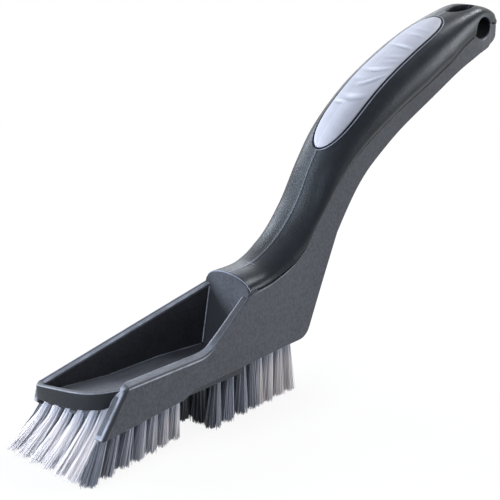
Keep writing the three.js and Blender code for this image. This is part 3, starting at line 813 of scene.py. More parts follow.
def charcoal_plastic():
    """Satin charcoal moulding: fine grain, soft clouding, the parting line along the crest with a
    short cross mark where it starts, painted pale as a highlight on the line, painted highlights
    and painted shade from the points, and rougher with painted shade inside the eye."""
    material, shader, coords = new_material("charcoal_plastic")
    dark = tuple(bpy.context.scene.brush_colours.charcoal)
    grain = coords.noise(1700, 2).step(0.3, 0.7)
    cloud = coords.noise(120, 4, 0.6).step(0.3, 0.7)
    x, y, _ = coords.axes()
    # The parting line and its cross mark are painted pale: a painted highlight on the line.
    cross_x, cross_ends, line_end = -0.0185, (0.0022, 0.0026), (0.03, 0.04)
    line = 1 - abs(y).step(0.0001, 0.00026)
    cross = (1 - abs(x - cross_x).step(0.0001, 0.0003)) * (1 - abs(y).step(*cross_ends))
    mark = line.above(cross) * (1 - x.step(*line_end))
    # Mask for painted shade inside the eye and the opening over it.
    inside = eye_shade_mask(coords)
    shade = (0.5 * cloud + 0.5 * grain).blend(tint(dark, 0.75), tint(dark, 1.3))
    # The points' painted light: painted highlights lighten the colour, painted shade below 0 darkens
    # it.
    edge = coords.attribute("edge")
    shade = (0.4 * mark + 0.8 * edge).blend(shade, tint(dark, 28))
    shade = (0.0 - edge).blend(shade, tint(dark, 0.1))
    feed(
        shader,
        Base_Color=inside.blend(shade, tint(dark, 0.1)),
        Roughness=0.27 + 0.08 * cloud + 0.1 * grain - 0.12 * edge + 0.4 * inside,
        Specular_IOR_Level=0.2,
        Specular_Tint=(0.76, 0.88, 1.0, 1),
        Normal=(0.5 * grain + 0.3 * cloud).bump(0.22),
    )
    return material


def soft_rubber():
    """Soft pale inlay: even sheen, faint clouding, fine pores, a thin line along its middle, a painted
    highlight on the folds' tops and painted shade below them and on the lower end's near side."""
    material, shader, coords = new_material("soft_rubber")
    pale = tuple(bpy.context.scene.brush_colours.pad)
    pores = coords.noise(2200, 2).step(0.3, 0.7)
    cloud = coords.noise(90, 3).step(0.3, 0.7)
    y = coords.axes()[1]
    line = 1 - abs(y).step(0.00006, 0.00022)
    mix = 0.7 * cloud + 0.3 * pores
    shade = mix.blend(tint(pale, 0.9), tint(pale, 1.1))
    # The points' painted light: a painted highlight on fold tops, painted shade below them and on the
    # lower end's near side.
    edge = coords.attribute("edge")
    shade = (0.6 * edge).blend(shade, tint(pale, 1.8))
    shade = (0.0 - 0.55 * edge).blend(shade, tint(pale, 0.4))
    feed(
        shader,
        Base_Color=(0.35 * line).blend(shade, tint(pale, 1.6)),
        Roughness=0.38 + 0.1 * cloud + 0.1 * pores,
        Specular_IOR_Level=0.35,
        Normal=(0.5 * pores + 0.6 * line).bump(0.12),
    )
    return material


def groove_shadow():
    """A dark matt strip of painted shadow in the groove round the pad, with dust flecks."""
    material, shader, coords = new_material("groove_shadow")
    dark = tuple(bpy.context.scene.brush_colours.charcoal)
    dust = coords.noise(900, 3)
    shade = dust.blend(tint(dark, 0.15), tint(dark, 0.5))
    feed(shader, Base_Color=shade, Roughness=0.6 + 0.3 * dust, Specular_IOR_Level=0.1)
    return material


def bristle_finish():
    """Filaments from dark to white by their own tone, with painted shade towards the root and a painted
    lit side on each tuft, each a little different.
    """
    material, shader, coords = new_material("bristle_filament")
    colours = bpy.context.scene.brush_colours
    tone = coords.attribute("tone")
    reach = coords.attribute("reach")
    fleck = coords.noise(1500, 2)
    # Painted shade towards each strand's root.
    shade = tone * (0.5 + 0.5 * reach.step(-0.1, 0.6)) + 0.10 * fleck - 0.05
    feed(
        shader,
        Base_Color=(2 * shade - 1).blend(
            (2 * shade).blend(tuple(colours.dark_bristle), tuple(colours.grey_bristle)),
            tuple(colours.white_bristle),
        ),
        Roughness=0.34 + 0.2 * fleck,
    )
    return material


def steel_wire():
    """Drawn steel wire: fine lines along it."""
    material, shader, coords = new_material("steel_wire")
    steel = tuple(bpy.context.scene.brush_colours.steel)
    lines = coords.stretched((300, 4000, 4000)).noise(1, 3)
    feed(
        shader,
        Base_Color=lines.blend(tint(steel, 0.8), tint(steel, 1.2)),
        Roughness=0.25 + 0.25 * lines,
        Metallic=1.0,
    )
    return material


def settle(piece, slot, *nodes):
    """The piece rides on the brush and stands for its CAD nodes. The slot is not used."""
    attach(piece, "root")
    if nodes:
        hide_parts(*nodes)
    return piece


class TRACKBRUSH_OT_body(bpy.types.Operator):
    """Lower moulding: both walls, tray, nose lip, heel and spine"""

    bl_idname = "trackbrush.body"
    bl_label = "Lower moulding"

    def near_wall(self, size):
        """Low flat stretch, then a ramp up to the seam. The painted highlight line on its outer edge is
        dimmed on the ramp and along the handle, and painted bright again under the hanging eye."""
        shoulder = handle_at(size, 0).seam[0, 1]
        edge = np.array([NEAR_CORNER, size.near_height])
        front, start, past = self.front_rows(edge, 3.0, size.toe_drop)
        rim = [(*front, 0), (*edge, 2.4), (RAMP_FOOT, size.near_height, 4.5)]
        rim += [(RAMP_HEAD, shoulder, 1.5), (SHOULDER_END, shoulder, 0)]
        low = underside(size, front, size.toe_drop)
        keys = [start, (past, edge + (3, 0)), ((34, -0.2), (45, size.near_height))]
        keys += [((51, size.rear_step), (60, 19.4))]
        low, top, edges = self.wall_rows(size, low, self.onto_seam(size, rim), keys)
        x = top[:, 0]
        eye = handle_at(size, EYE_SHARE).seam[0, 0]
        lift = size.near_lift * fade(x, 10.5, 14.5) * fade(x, 58, 48)
        # Painted light: the outer edge's painted highlight line dimmed and brightened again, a painted
        # highlight on the front corner's bend and painted shade on the ramp's top.
        highlight_dimming = fade(x, 51, 55) * fade(x, 80, 76) + fade(x, 92, 104) - 1.5 * bell(x, eye + 1.5, 2)
        flash = bell(x, edge[0], 0.7) - 0.9 * fade(x, 53, 58) * fade(x, 82, 76)
        return plate(size, low, top, -1, edges, size.near_bar, lift=lift, highlight_dimming=highlight_dimming, flash=flash)

    def far_wall(self, size):
        """One straight rim from the nose up to the seam."""
        shoulder = handle_at(size, 0).seam[0, 1]
        drop = 0.2
        edge = np.array([FAR_CORNER, size.lip_top])
        front, start, past = self.front_rows(edge, 1.3, drop)
        rim = [(*front, 0), (*edge, 1.5), (RIM_HEAD, shoulder, 3), (SHOULDER_END, shoulder, 0)]
        low = underside(size, front, drop)
        keys = [start, (past, (3.1, 7.2)), ((34, -0.2), (38, 18)), ((51, size.rear_step), (56, 24))]
        low, top, edges = self.wall_rows(size, low, self.onto_seam(size, rim), keys)
        return plate(size, low, top, 1, edges, size.wall, groove=0.22)

    def front_rows(self, edge, top, drop):
        """Middle of a wall's front edge, the first pair of row ends and the spot past the toe."""
        toe = toe_of(drop)
        along = (edge - toe) / np.linalg.norm(edge - toe)
        return (toe + edge) / 2, (toe + 2.2 * along, edge - top * along), toe + (2.2, 0.15)

    def onto_seam(self, size, corners):
        """The rim of a wall through its corners, and on along the seam from where the shell starts."""
        rim, seam = rounded(corners), seam_line(size, 0.02)
        return np.vstack([rim[rim[:, 0] < SEAM_START], seam[seam[:, 0] > SEAM_START + 0.2]])

    def wall_rows(self, size, low, top, keys):
        """Rows from the front edge past heel and spine to the tip, and the radii of their corners.
        Keys are pairs of spots, on the low line and on the top line, that a row joins."""
        heel = heel_end(size)
        rows = handle_at(size, np.linspace(SPINE_SHARE, EYE_SHARE - 0.05, 8))
        arc = eye_arc(size)
        middle = len(arc) // 2
        tip = handle_at(size, 1).seam[0]
        keys = keys + [((SEAM_START, size.rear_step), (SEAM_START + 1, 30))]
        keys += [((heel - 6, rear_low(size, heel)), handle_at(size, 0.13).seam[0])]
        keys += [((heel + 1, size.rear_step + 6), handle_at(size, 0.19).seam[0])]
        keys += list(zip(rows.low, rows.seam))
        keys += [(handle_at(size, EYE_SHARE - 0.035).low[0], arc[0])]
        keys += [(handle_at(size, EYE_SHARE).low[0], arc[middle]), (tip - (3.0, 8.1), arc[-1])]
        keys += [(tip - (0, 3.6), tip - (0.9, 0)), (low[-1], top[-1])]
        low, top = rows_between(low, top, keys, 0.55)
        x = top[:, 0]
        at_eye = fade(np.abs(x - arc[middle, 0]) / (size.eye_length / 2), 1.3, 1)
        spine_edge = 0.4
        round_top = spine_edge + (size.wall_edge - spine_edge) * fade(x, 82, 74) + 0.5 * at_eye
        round_top = round_top * np.clip((x[-1] - x) / 3, 0.3, 1)
        return low, top, (0.7, round_top, round_top, 0.02)

    def core(self, size):
        """Block between the walls: underside, heel, spine, and the tray's leaning rear wall. An
        outline in x and z is carried across to inside both walls. Its top reaches past the seam
        into the shell, except at the hanging eye."""
        seam = seam_line(size, 0.0)
        off = np.abs(seam[:, 0] - handle_at(size, EYE_SHARE).seam[0, 0]) * 2 / size.eye_length
        seam[:, 1] += 0.5 * fade(off, 1, 1.3) * fade(seam[:, 0], SHELL_LEAVES, SHELL_LEAVES + 6)
        shoulder = seam[0, 1]
        front, rear, end = FRONT_BLOCK_END, REAR_BLOCK_START, size.head_length - REAR_BLOCK_INSET
        low = underside(size, (0, 0.5), 0)
        low = low[low[:, 0] > STEP_FOOT - 0.4] + (0, APART)
        step, heel = low[low[:, 0] < rear - 0.1], low[low[:, 0] > end]
        block_x, block_top, foot_x, panel_x = 20, 3, 60, 74
        foot = [(rear_wall(size, shoulder), shoulder - APART, 0)]
        foot += [(size.tray_end, size.floor_rear + APART, 1.5)]
        foot += [(foot_x, floor_height(size, foot_x) + APART, 0)]
        outline = np.vstack(
            [
                [(block_x, BLOCK_RECESS), (front, BLOCK_RECESS), (front, APART)],
                step,
                [(rear, rear_low(size, rear) + z) for z in (APART, BLOCK_RECESS)],
                [(end, rear_low(size, end) + z) for z in (BLOCK_RECESS, APART)],
                heel - (APART, 0),
                seam[::-1] - (0, APART),
                rounded(foot, 12),
                [(foot_x, block_top), (block_x, block_top)],
            ]
        )
        x, z = outline.T
        half = body_half(size, x) - np.interp(x, [panel_x, SHOULDER_END], [3.1, 1.0])
        across = np.linspace(-1, 1, 5)[:, None] * half
        x, z = np.broadcast_to(x, across.shape), np.broadcast_to(z, across.shape)
        # Painted shade on all of it ahead of the arch panel's place: the tray's rear wall, the blocks
        # and the underside there.
        return tube(np.stack([x, across, z], axis=-1), edge=np.where(x < panel_x, -1, 0))

    def floor_slab(self, size):
        """Tray floor: at each x a strip between the nose line's two branches, or the walls, its top
        on the floor and its underside drawn up towards the nose, where the front tufts stand."""
        nose = nose_line(size, 200) + (1.7, 0)
        front = np.argmin(nose[:, 0])
        start = nose[front, 0]
        x = start + APART + (size.tray_end + 1 - start) * np.linspace(0, 1, 90) ** 1.6
        inside = body_half(size, x) - 1.0
        far = np.minimum(np.interp(x, *nose[front::-1].T), inside)
        near = np.maximum(np.interp(x, *nose[front:].T), -inside)
        low = np.maximum(BLOCK_RECESS, 3 - 0.5 * (x - x[0]))
        y = np.column_stack([near, far, far, near])
        top = floor_height(size, x) + FLOOR_CLIMB * (body_half(size, x) - size.wall - y.T)
        z = np.column_stack([low, low, top[2], top[3]])
        x = np.broadcast_to(x[:, None], y.shape)
        # Painted shade on the floor, deepening towards the rear wall.
        return tube(np.stack([x, y, z], axis=-1), edge=-0.5 * fade(x, 20, 60))

    def nose_band(self, size, inset, thick, corner, under, sink):
        """A rounded bar carried along the nose line, inset from it, climbing to the near wall, from
        some way under the lip's lower edge up to a sink below its top."""
        line = nose_line(size, 70)
        ahead = (line[-1] - line[-2]) / np.linalg.norm(line[-1] - line[-2])
        line = np.vstack([line, line[-1] + ahead, line[-1] + 2.2 * ahead])
        slope = np.gradient(line, axis=0)
        slope /= np.linalg.norm(slope, axis=1, keepdims=True)
        inward = np.column_stack([-slope[:, 1], slope[:, 0]])
        angle = np.linspace(0, math.pi / 2, 6)
        inner, outer = corner * (1 - np.sin(angle)), corner * (1 - np.cos(angle))
        deep = inset + np.concatenate([inner, outer, thick - inner, thick - outer])
        high = lip_height(size, line[:, 1:]) - sink
        low = lip_foot(size, line[:, 1:]) - under
        z = np.hstack([low + outer, high - inner, high - outer, low + inner])
        place = line[:, None, :] + inward[:, None, :] * deep[None, :, None]
        # Painted light: painted shade on the front face, the lower corners and the underside, a painted
        # highlight line on the outer top corner and a fainter one on the inner top corner.
        glint, shade = bell(angle, math.pi / 4, 0.25), np.full(len(angle), -1)
        outer_top = np.where(angle < 0.6, shade, 0) + glint
        painted_light = np.concatenate([shade, outer_top, 0.7 * glint - 0.1, shade])
        return tube(np.concatenate([place, z[:, :, None]], axis=-1), edge=painted_light)

    def fillet(self, size):
        """A thin rounded fillet at the foot of the far wall and up its corner with the rear wall,
        with a painted highlight along it.
        """
        x = np.linspace(7, size.tray_end - 0.1, 60)
        z = np.linspace(size.floor_rear, handle_at(size, 0).seam[0, 1] - 2, 30)[1:]
        path_x = np.append(x, rear_wall(size, z) - 0.1)[:, None]
        path_z = np.append(floor_height(size, x), z)[:, None]
        path_y = body_half(size, path_x) - size.wall
        turn = np.linspace(0, 2 * math.pi, 10, endpoint=False)
        radius = 0.3
        across, out = radius * np.cos(turn), radius * np.sin(turn)
        lies = (np.arange(len(path_x)) < len(x))[:, None]
        rings = [path_x + np.where(lies, 0, out), path_y + across, path_z + np.where(lies, out, 0)]
        return tube(np.stack(rings, axis=-1), edge=0.5)

    def arch_panel(self, size):
        """Upper part of the tray's rear wall: across it, columns that follow the wall's slope up to
        just under the shell's arch, with a painted shadow over their foot that reaches higher on the
        far side."""
        start = handle_at(size, 0)
        inset, foot, back_x = 0.5, 12, 77
        half = start.half[0] - inset
        y = np.sin(np.linspace(-math.pi / 2, math.pi / 2, 61))[:, None] * half
        bulge = bulge_share(0) * start.shell[0] - inset
        top = start.crest[0, 1] - inset - skin_depth(bulge, half, y, section_power(0))
        z = foot + (top - foot) * np.linspace(0, 1, 24)
        # Painted shadow: full from 8 below its top down, its top climbing towards the far side.
        painted_shadow_top = 27.2 + 0.7 * y
        shade = np.hstack([-fade(z, painted_shadow_top, painted_shadow_top - 8), 0 * y, 0 * y])
        x = rear_wall(size, z) - 0.05 * fade(z, foot, foot + 5)
        x = np.minimum(x, size.crest_start - 0.04)
        back = np.full_like(y, back_x)
        x = np.hstack([x, back, back])
        z = np.hstack([z, top, np.full_like(y, foot)])
        return tube(np.stack([x, np.broadcast_to(y, x.shape), z], axis=-1), edge=shade)

    def execute(self, context):
        size = millimetres()
        tubes = [
            self.near_wall(size),
            self.far_wall(size),
            self.core(size),
            self.floor_slab(size),
            self.nose_band(size, inset=0, thick=2.3, corner=0.75, under=0, sink=0),
            self.nose_band(size, inset=1.6, thick=0.6, corner=0.1, under=1, sink=1),
            self.arch_panel(size),
            self.fillet(size),
        ]
        piece = make_piece("lower_moulding", tubes, [grey_plastic()])
        settle(piece, "grey_plastic", "body")
        return {"FINISHED"}


class TRACKBRUSH_OT_shell(bpy.types.Operator):
    """Upper moulding of the handle, in two halves that meet on the parting line"""

    bl_idname = "trackbrush.shell"
    bl_label = "Upper moulding"

    def rows(self):
        """Shares of the shell's rows, and how far each row leads along the handle and grows: the
        first ones turn in at the arch, the last ones round off the tip by a quarter circle."""
        share = np.concatenate(
            [[0] * 5, np.linspace(0.004, 0.735, 190), np.linspace(0.737, 0.966, 170)]
            + [np.linspace(0.968, SHELL_END, 18), [SHELL_END] * 6]
        )
        lead, grow = np.zeros((2, len(share)))
        lead[:5], grow[:5] = (2.6, 0.15, 0, 0.08, 0.3), (-0.5, -0.5, -0.3, -0.1, 0)
        turn = np.radians(np.linspace(15, 90, 6))
        lead[-6:], grow[-6:] = 0.5 * np.sin(turn), 0.6 * np.cos(turn) - 0.6
        return share, lead[:, None], grow[:, None]

    def eye_depth(self, size, rows):
        """Depth below the crest at which a row meets the hanging eye's oval, the first root of a
        quadratic, and no limit where it passes by."""
        radii = np.array([size.eye_length, size.eye_height]) / 2
        across = rows.down / radii
        away = (rows.crest - handle_at(size, EYE_SHARE).seam[0]) / radii
        a, b, c = (across**2).sum(1), (across * away).sum(1), (away**2).sum(1) - 1
        root = b * b - a * c
        return np.where(root > 0, (-b - np.sqrt(np.maximum(root, 0))) / a, np.inf)[:, None]

    def opening_half(self, size, rows, side):
        """Half width of the opening over the eye, an oval that lies nearer to the near side."""
        centre = handle_at(size, EYE_SHARE).seam[0, 0] - size.opening_setback
        off = (rows.crest[:, :1] - centre) / (size.opening_length / 2)
        wide = size.opening_width / 2 - side * size.opening_shift
        return wide * np.sqrt(np.maximum(0, 1 - off**2))

    def half_shell(self, size, side):
        """At each row, from the crest round the superellipse and in to the foot on the seam, and
        back by the middle. Over the eye the middle opens to an oval, and the foot lifts over the
        eye's upper arc. A low ridge runs along the parting line."""
        share, lead, grow = self.rows()
        rows = handle_at(size, share)
        power = section_power(share)[:, None]
        shell = rows.shell[:, None]
        bulge = bulge_share(share)[:, None] * shell
        half = rows.half[:, None] + grow
        at_tip = fade(share, 0.93, 0.96)[:, None]
        foot = half - (half - rows.foot[:, None] - grow) * (1 - at_tip)
        seam = shell - size.seam_gap
        hit = self.eye_depth(size, rows)
        at_eye = hit < seam
        end = np.minimum(np.maximum(seam, 0.4), hit)
        opening = self.opening_half(size, rows, side)
        lip = np.minimum(0.8, opening)
        first = opening + lip
        ridge, ridge_rise = np.array([0, 0.1, 0.26]), 0.035
        spread = np.sin(np.linspace(0, math.pi / 2, 22))[1:] ** 0.85
        y_upper = np.hstack([first + ridge, first + ridge[-1] + (half - first - ridge[-1]) * spread])
        d_upper = skin_depth(bulge + grow, half, y_upper, power) - grow
        rise = ridge_rise * fade(np.arange(len(share)), 6, 14)[:, None]
        d_upper[:, :2] -= np.where(opening > 0, 0, rise)
        share_low = np.linspace(0, 1, 10)[1:]
        full = np.maximum(seam, bulge + 0.1)
        d_lower = bulge + (full - bulge) * share_low
        y_lower = half - (half - foot) * share_low**2
        chamfer = np.where(at_eye, 0.7, 0.3 - 0.2 * at_tip)
        last = np.maximum(end - chamfer, 0.05)
        shy = fade(last + grow, bulge + grow, 0)
        y_straight = half - (half - foot) * fade(last, bulge, full) ** 2
        y_last = np.where(last > bulge, y_straight, half * (1 - shy**power) ** (1 / power))
        depth, y = np.hstack([d_upper, d_lower]), np.hstack([y_upper, y_lower])
        over = depth > last
        depth, y = np.where(over, last, depth), np.where(over, y_last, y)
        top = d_upper[:, :1]
        turn = np.linspace(0, math.pi / 2, 5)[1:]
        depth = np.hstack([depth, last + (end - last) * np.sin(turn), end, top + lip, top + 0.3 * lip])
        y_turn = y_last - chamfer * (1 - np.cos(turn))
        y = np.hstack([y, y_turn, opening, opening, opening + 0.3 * lip])
        y = np.maximum(y, 0.005)
        place = (rows.crest + rows.tangent * lead)[:, None, :]
        place = place + rows.down[:, None, :] * depth[:, :, None]
        # Painted light: a painted highlight on the first rows at the arch rim, and on the foot's
        # chamfer painted shade, or a faint painted highlight by the eye.
        painted_light = np.zeros(y.shape)
        painted_light[1:4] = 1
        painted_light[:, -7:-3] = np.where(at_eye, 0.35, -1)
        return tube(np.stack([place[:, :, 0], side * y, place[:, :, 1]], axis=-1), edge=painted_light)

    def execute(self, context):
        size = millimetres()
        tubes = [self.half_shell(size, side) for side in (-1, 1)]
        piece = make_piece("handle_shell_moulding", tubes, [charcoal_plastic()], angle=45)
        settle(piece, "dark_plastic", "handle_shell")
        return {"FINISHED"}


class TRACKBRUSH_OT_pad(bpy.types.Operator):
    """Soft grip inlay with its ripples, a dark strip of painted shadow in the groove round it and the
    shell's thin rim with a painted highlight
    """

    bl_idname = "trackbrush.pad"
    bl_label = "Grip pad"

    def outline(self, size, grow, count):
        """Distance along the crest's chord and y of the pad's edge, all the way round: both ends are
        superellipses, and towards the upper end the pad narrows, more on its far side."""
        middle = handle_at(size, np.mean(PAD_SHARES))
        ends = handle_at(size, np.array(PAD_SHARES))
        low, high = (ends.crest - middle.crest) @ middle.tangent[0] + (-grow, grow)
        angle = np.linspace(0, 2 * math.pi, count, endpoint=False)
        share, across = -np.cos(angle), np.sin(angle)
        upper = np.clip(share, 0, 1)
        half = np.where(across > 0, size.pad_far - 1.3 * upper, size.pad_half - 0.5 * upper) + grow
        width = half * (1 - np.abs(share) ** np.where(share < 0, 6.0, 7.0)) ** 0.5
        return low + (high - low) * (share + 1) / 2, width * np.sign(across)

    def on_shell(self, size, u, y, height):
        """Points at a height over the shell's skin, from distances along the chord and across."""
        table = np.linspace(PAD_SHARES[0] - 0.08, PAD_SHARES[1] + 0.08, 400)
        middle = handle_at(size, np.mean(PAD_SHARES))
        chord = (handle_at(size, table).crest - middle.crest) @ middle.tangent[0]
        share = np.interp(u, chord, table)
        rows = handle_at(size, share.ravel())
        y, height = y.ravel(), height.ravel()
        power = section_power(share.ravel())
        bulge = bulge_share(share.ravel()) * rows.shell
        near = 0.01
        behind, depth, ahead = (skin_depth(bulge, rows.half, y + k * near, power) for k in (-1, 0, 1))
        lean = (ahead - behind) / (2 * near)
        slant = np.sqrt(1 + lean**2)
        place = rows.crest + rows.down * (depth - height / slant)[:, None]
        out = np.stack([place[:, 0], y + height * lean / slant, place[:, 1]], axis=-1)
        return out.reshape(*share.shape, 3)

    def ripples(self, u, y):
        """Folds across the pad: each a smooth ridge over a smooth valley, bowed and tilted, fading
        to both sides."""
        total = np.zeros_like(u)
        for place, tilt, bow, rise, wide, centre, reach in FOLDS:
            off = (u - place + tilt * y - bow * y * y) / wide
            fold = bell(off, 0, 1) - 0.7 * bell(off, -1.5, 1)
            total += rise * fold * bell(y, centre, reach)
        return total

    def inlay(self, size):
        """A disc of rings from the pad's middle to its edge, laid on the shell and raised a little,
        its edge turned down into the groove. The folds get a painted highlight on top and painted shade
        below, and the near side of the lower end gets painted shade, as if turned from the light."""
        flat = np.linspace(0.015, 0.93, 110)
        ring = np.append(flat, [0.955, 0.975, 0.99, 1, 1])[:, None]
        drop = np.append(0 * flat, [0.02, 0.07, 0.17, 0.45, 1.2])[:, None]
        u, y = (ring * edge for edge in self.outline(size, 0, 540))
        folds = fade(ring, 1, 0.82) * self.ripples(u, y)
        # Painted shade on the near side of the lower end.
        turned = fade(y, -1.5, -6.5) * fade(u, -6, -20)
        points = self.on_shell(size, u, y, size.pad_proud - drop + folds)
        # Fold height at which the painted highlight on top is full.
        full_light = 0.42
        return tube(points, edge=folds / full_light - 0.8 * turned)

    def bead(self, size, grow, rise, wide, tall, material):
        """A rounded bead carried round the pad's edge at a distance outside it."""
        angle = np.linspace(0, 2 * math.pi, 10, endpoint=False)
        edge = np.stack(self.outline(size, grow, 240))
        away = edge - np.stack(self.outline(size, grow - 0.5, 240))
        away /= np.maximum(np.linalg.norm(away, axis=0), 1e-6)
        u, y = edge[:, :, None] + away[:, :, None] * wide * np.cos(angle)
        height = np.broadcast_to(rise + tall * np.sin(angle), u.shape)
        rings = self.on_shell(size, u, y, height)
        rings = np.concatenate([rings, rings[:1]])
        # Painted highlight along the bead, strongest on its near side and fading to none on its far
        # side.
        ring = tube(rings, material, edge=np.clip(0.45 - 0.15 * rings[:, :, 1], 0, 1))
        ring.caps = []
        return ring

    def execute(self, context):
        size = millimetres()
        pad = make_piece("grip_inlay", [self.inlay(size)], [soft_rubber()], angle=60)
        settle(pad, "soft_grip", "grip_pad")
        # The groove is a dark strip of painted shadow; the rim bead carries a painted highlight.
        groove = self.bead(size, grow=0.34, rise=-0.02, wide=0.34, tall=0.1, material=1)
        rim = self.bead(size, grow=0.8, rise=0.0, wide=0.2, tall=0.16, material=0)
        finishes = [bpy.data.materials["charcoal_plastic"], groove_shadow()]
        seat = make_piece("pad_groove_shadow_and_rim", [groove, rim], finishes)
        settle(seat, "dark_plastic")
        return {"FINISHED"}


class TRACKBRUSH_OT_bristles(bpy.types.Operator):
    """Four groups of bristle tufts on their backing"""

    bl_idname = "trackbrush.bristles"
    bl_label = "Bristles"

    def tuft_plan(self, size):
        """Roots and leans of the tufts: a row under the nose lip, rows along the front section,
        and rows along the rear section, with the places where their blocks end."""
        dense = nose_line(size, 400)
        at = at_run(dense, NOSE_TUFTS * run_of(dense)[-1])
        behind = 3.4
        root = at + (behind, 0)
        k = np.arange(len(NOSE_TUFTS))[:, None]
        tips = NOSE_TIP + k * NOSE_TIP_STEP + k * k * NOSE_TIP_EASE
        nose = np.hstack([root, tips - root])
        nose_block, edge = 5.7, 2.1
        split = at[:, 0].max() + nose_block + edge
        rear_end = size.head_length - REAR_BLOCK_INSET

        def row(x, share, lean, swing):
            inner = head_half(size, x) - size.wall - 2.0
            lean, swing = (np.broadcast_to(value, len(x)) for value in (lean, share * swing))
            return np.column_stack([x, share * inner, lean, swing])

        def both_sides(tufts):
            return [row(tufts[:, 0], share, *tufts[:, 1:].T) for share in (-1, 1)]

        front = both_sides(NEAR_FRONT)
        front[1][0] = FAR_FIRST
        inner_start, inner_pitch, inner_end, steps = 16, 6.4, 39, 8
        inner_x = inner_start + inner_pitch * np.arange(len(INNER_TONES))
        lean = -0.2 * (inner_end - inner_x)
        front += [row(inner_x, share, lean, 3) for share in (-0.5, 0, 0.5)]
        rear_first = REAR_BLOCK_START + edge
        pitch = (rear_end - edge - rear_first) / steps
        inner_x = rear_first + pitch * np.arange(5)
        dark = both_sides(NEAR_REAR[:DARK_TUFTS])
        stagger = 3.8
        dark += [row(inner_x + stagger, -0.5, -2, 4), row(inner_x, 0.0, -1.7, 3)]
        white = both_sides(NEAR_REAR[DARK_TUFTS:])
        return SimpleNamespace(
            nose=nose, front=np.vstack(front), dark=np.vstack(dark), white=np.vstack(white),
            nose_root=lip_foot(size, at[:, 1]), split=split, rear_end=rear_end,
            rear_split=rear_first + 4.5 * pitch,
        )

    def strands(self, size, tufts, tones, base, radii, swing, random):
        """Bristles of the tufts: roots in a disc, tips in a wider disc that leans away, a gentle
        bow between, tips cut a little unevenly. Each is a three-sided tapering tube."""
        count = bpy.context.scene.brush_counts.strands
        total = len(tufts) * count
        stray, uneven, bow, thicker = 0.34, 1.1, 1.18, (0.85, 1.15)
        sunk, usual_share, lighter = 0.5, 0.88, 0.25
        tuft = np.repeat(tufts, count, axis=0)
        turn = random.uniform(0, 2 * math.pi, total)
        out = np.sqrt(random.uniform(0, 1, total))
        away = np.column_stack([np.cos(turn), np.sin(turn)]) * out[:, None]
        root = tuft[:, :2] + radii[0] * away
        tip = tuft[:, :2] + tuft[:, 2:] + radii[1] * away + random.normal(0, stray, (total, 2))
        bottom = -size.bristle_length + random.uniform(0, 1, total) ** 2 * uneven
        t, taper = np.array([(0, 1.0), (0.3, 1.0), (0.65, 0.95), (1.0, 0.7)]).T
        line = root[:, None, :] + (tip - root)[:, None, :] * (t**bow)[None, :, None]
        start = np.repeat(np.broadcast_to(base, len(tufts)), count) + sunk
        z = start[:, None] + (bottom - start)[:, None] * t
        radius = size.strand_radius * taper * random.uniform(*thicker, (total, 1))
        sides = 3
        corner = 2 * math.pi * np.arange(sides) / sides + random.uniform(0, 2 * math.pi, (total, 1))
        x = line[:, :, None, 0] + radius[:, :, None] * np.cos(corner)[:, None, :]
        y = line[:, :, None, 1] + radius[:, :, None] * np.sin(corner)[:, None, :]
        points = np.stack([x, y, np.broadcast_to(z[:, :, None], x.shape)], axis=-1)
        one = tube(np.zeros((len(t), sides, 3)))
        each = len(one.points)
        first = each * np.arange(total)[:, None, None]
        quads = (one.quads[None] + first).reshape(-1, 4)
        caps = (np.array(one.caps)[None] + first).reshape(-1, sides)
        # Painted light: strands on the lit side of each tuft are lighter and those on the other side
        # darker, by the swing.
        lit_side = (0.73, -0.68)
        own = np.repeat(tones, count) * (1 + swing * (away @ lit_side))
        own = own + lighter * (random.uniform(0, 1, total) > usual_share) * (own < 0.5)
        own = np.clip(own + random.normal(0, 0.1, total) * (0.35 + 0.4 * own), 0, 1.1)
        tone, reach = np.repeat(own, each), np.tile(np.repeat(t, sides), total)
        skin = SimpleNamespace(
            points=points.reshape(-1, 3), quads=quads, caps=list(caps), material=0, edge=0 * tone
        )
        return skin, tone, reach

    def group(self, size, name, tufts, tones, root, radii, swing, backing, climb, seed):
        """One group of tufts on a thin slab of their block, which climbs towards the heel."""
        random = np.random.default_rng(bpy.context.scene.brush_counts.seed + seed)
        root = root + climb * (tufts[:, 0] - CLIMB_START)
        strands, tone, reach = self.strands(size, tufts, tones, root, radii, swing, random)
        slab = prism(*backing, 1)
        slab.points[:, 2] += climb * (slab.points[:, 0] - CLIMB_START)
        rest = np.zeros(len(slab.points))
        materials = [bpy.data.materials["bristle_filament"], bpy.data.materials["grey_plastic"]]
        piece = make_piece(name, [strands, slab], materials, angle=80, weld=0)
        for key, values in (("tone", np.append(tone, rest)), ("reach", np.append(reach, rest))):
            attribute = piece.data.attributes.new(key, "FLOAT", "POINT")
            attribute.data.foreach_set("value", values.astype(np.float32))
        return piece

    def execute(self, context):
        size = millimetres()
        bristle_finish()
        plan = self.tuft_plan(size)
        margin, block_inset = size.wall + 0.3, 7.4
        nose = nose_line(size) + (block_inset, 0)
        limit = head_half(size, nose[:, 0]) - margin
        nose = np.column_stack([nose[:, 0], np.clip(nose[:, 1], -limit, limit)])
        ahead = nose[nose[:, 0] < plan.split]
        corner = head_half(size, plan.split) - margin
        first = np.vstack([ahead, [(plan.split, ahead[-1, 1]), (plan.split, corner)]])

        def strip(start, end):
            halves = head_half(size, np.array([start, end])) - margin
            return np.array(
                [(start, -halves[0]), (end, -halves[1]), (end, halves[1]), (start, halves[0])]
            )

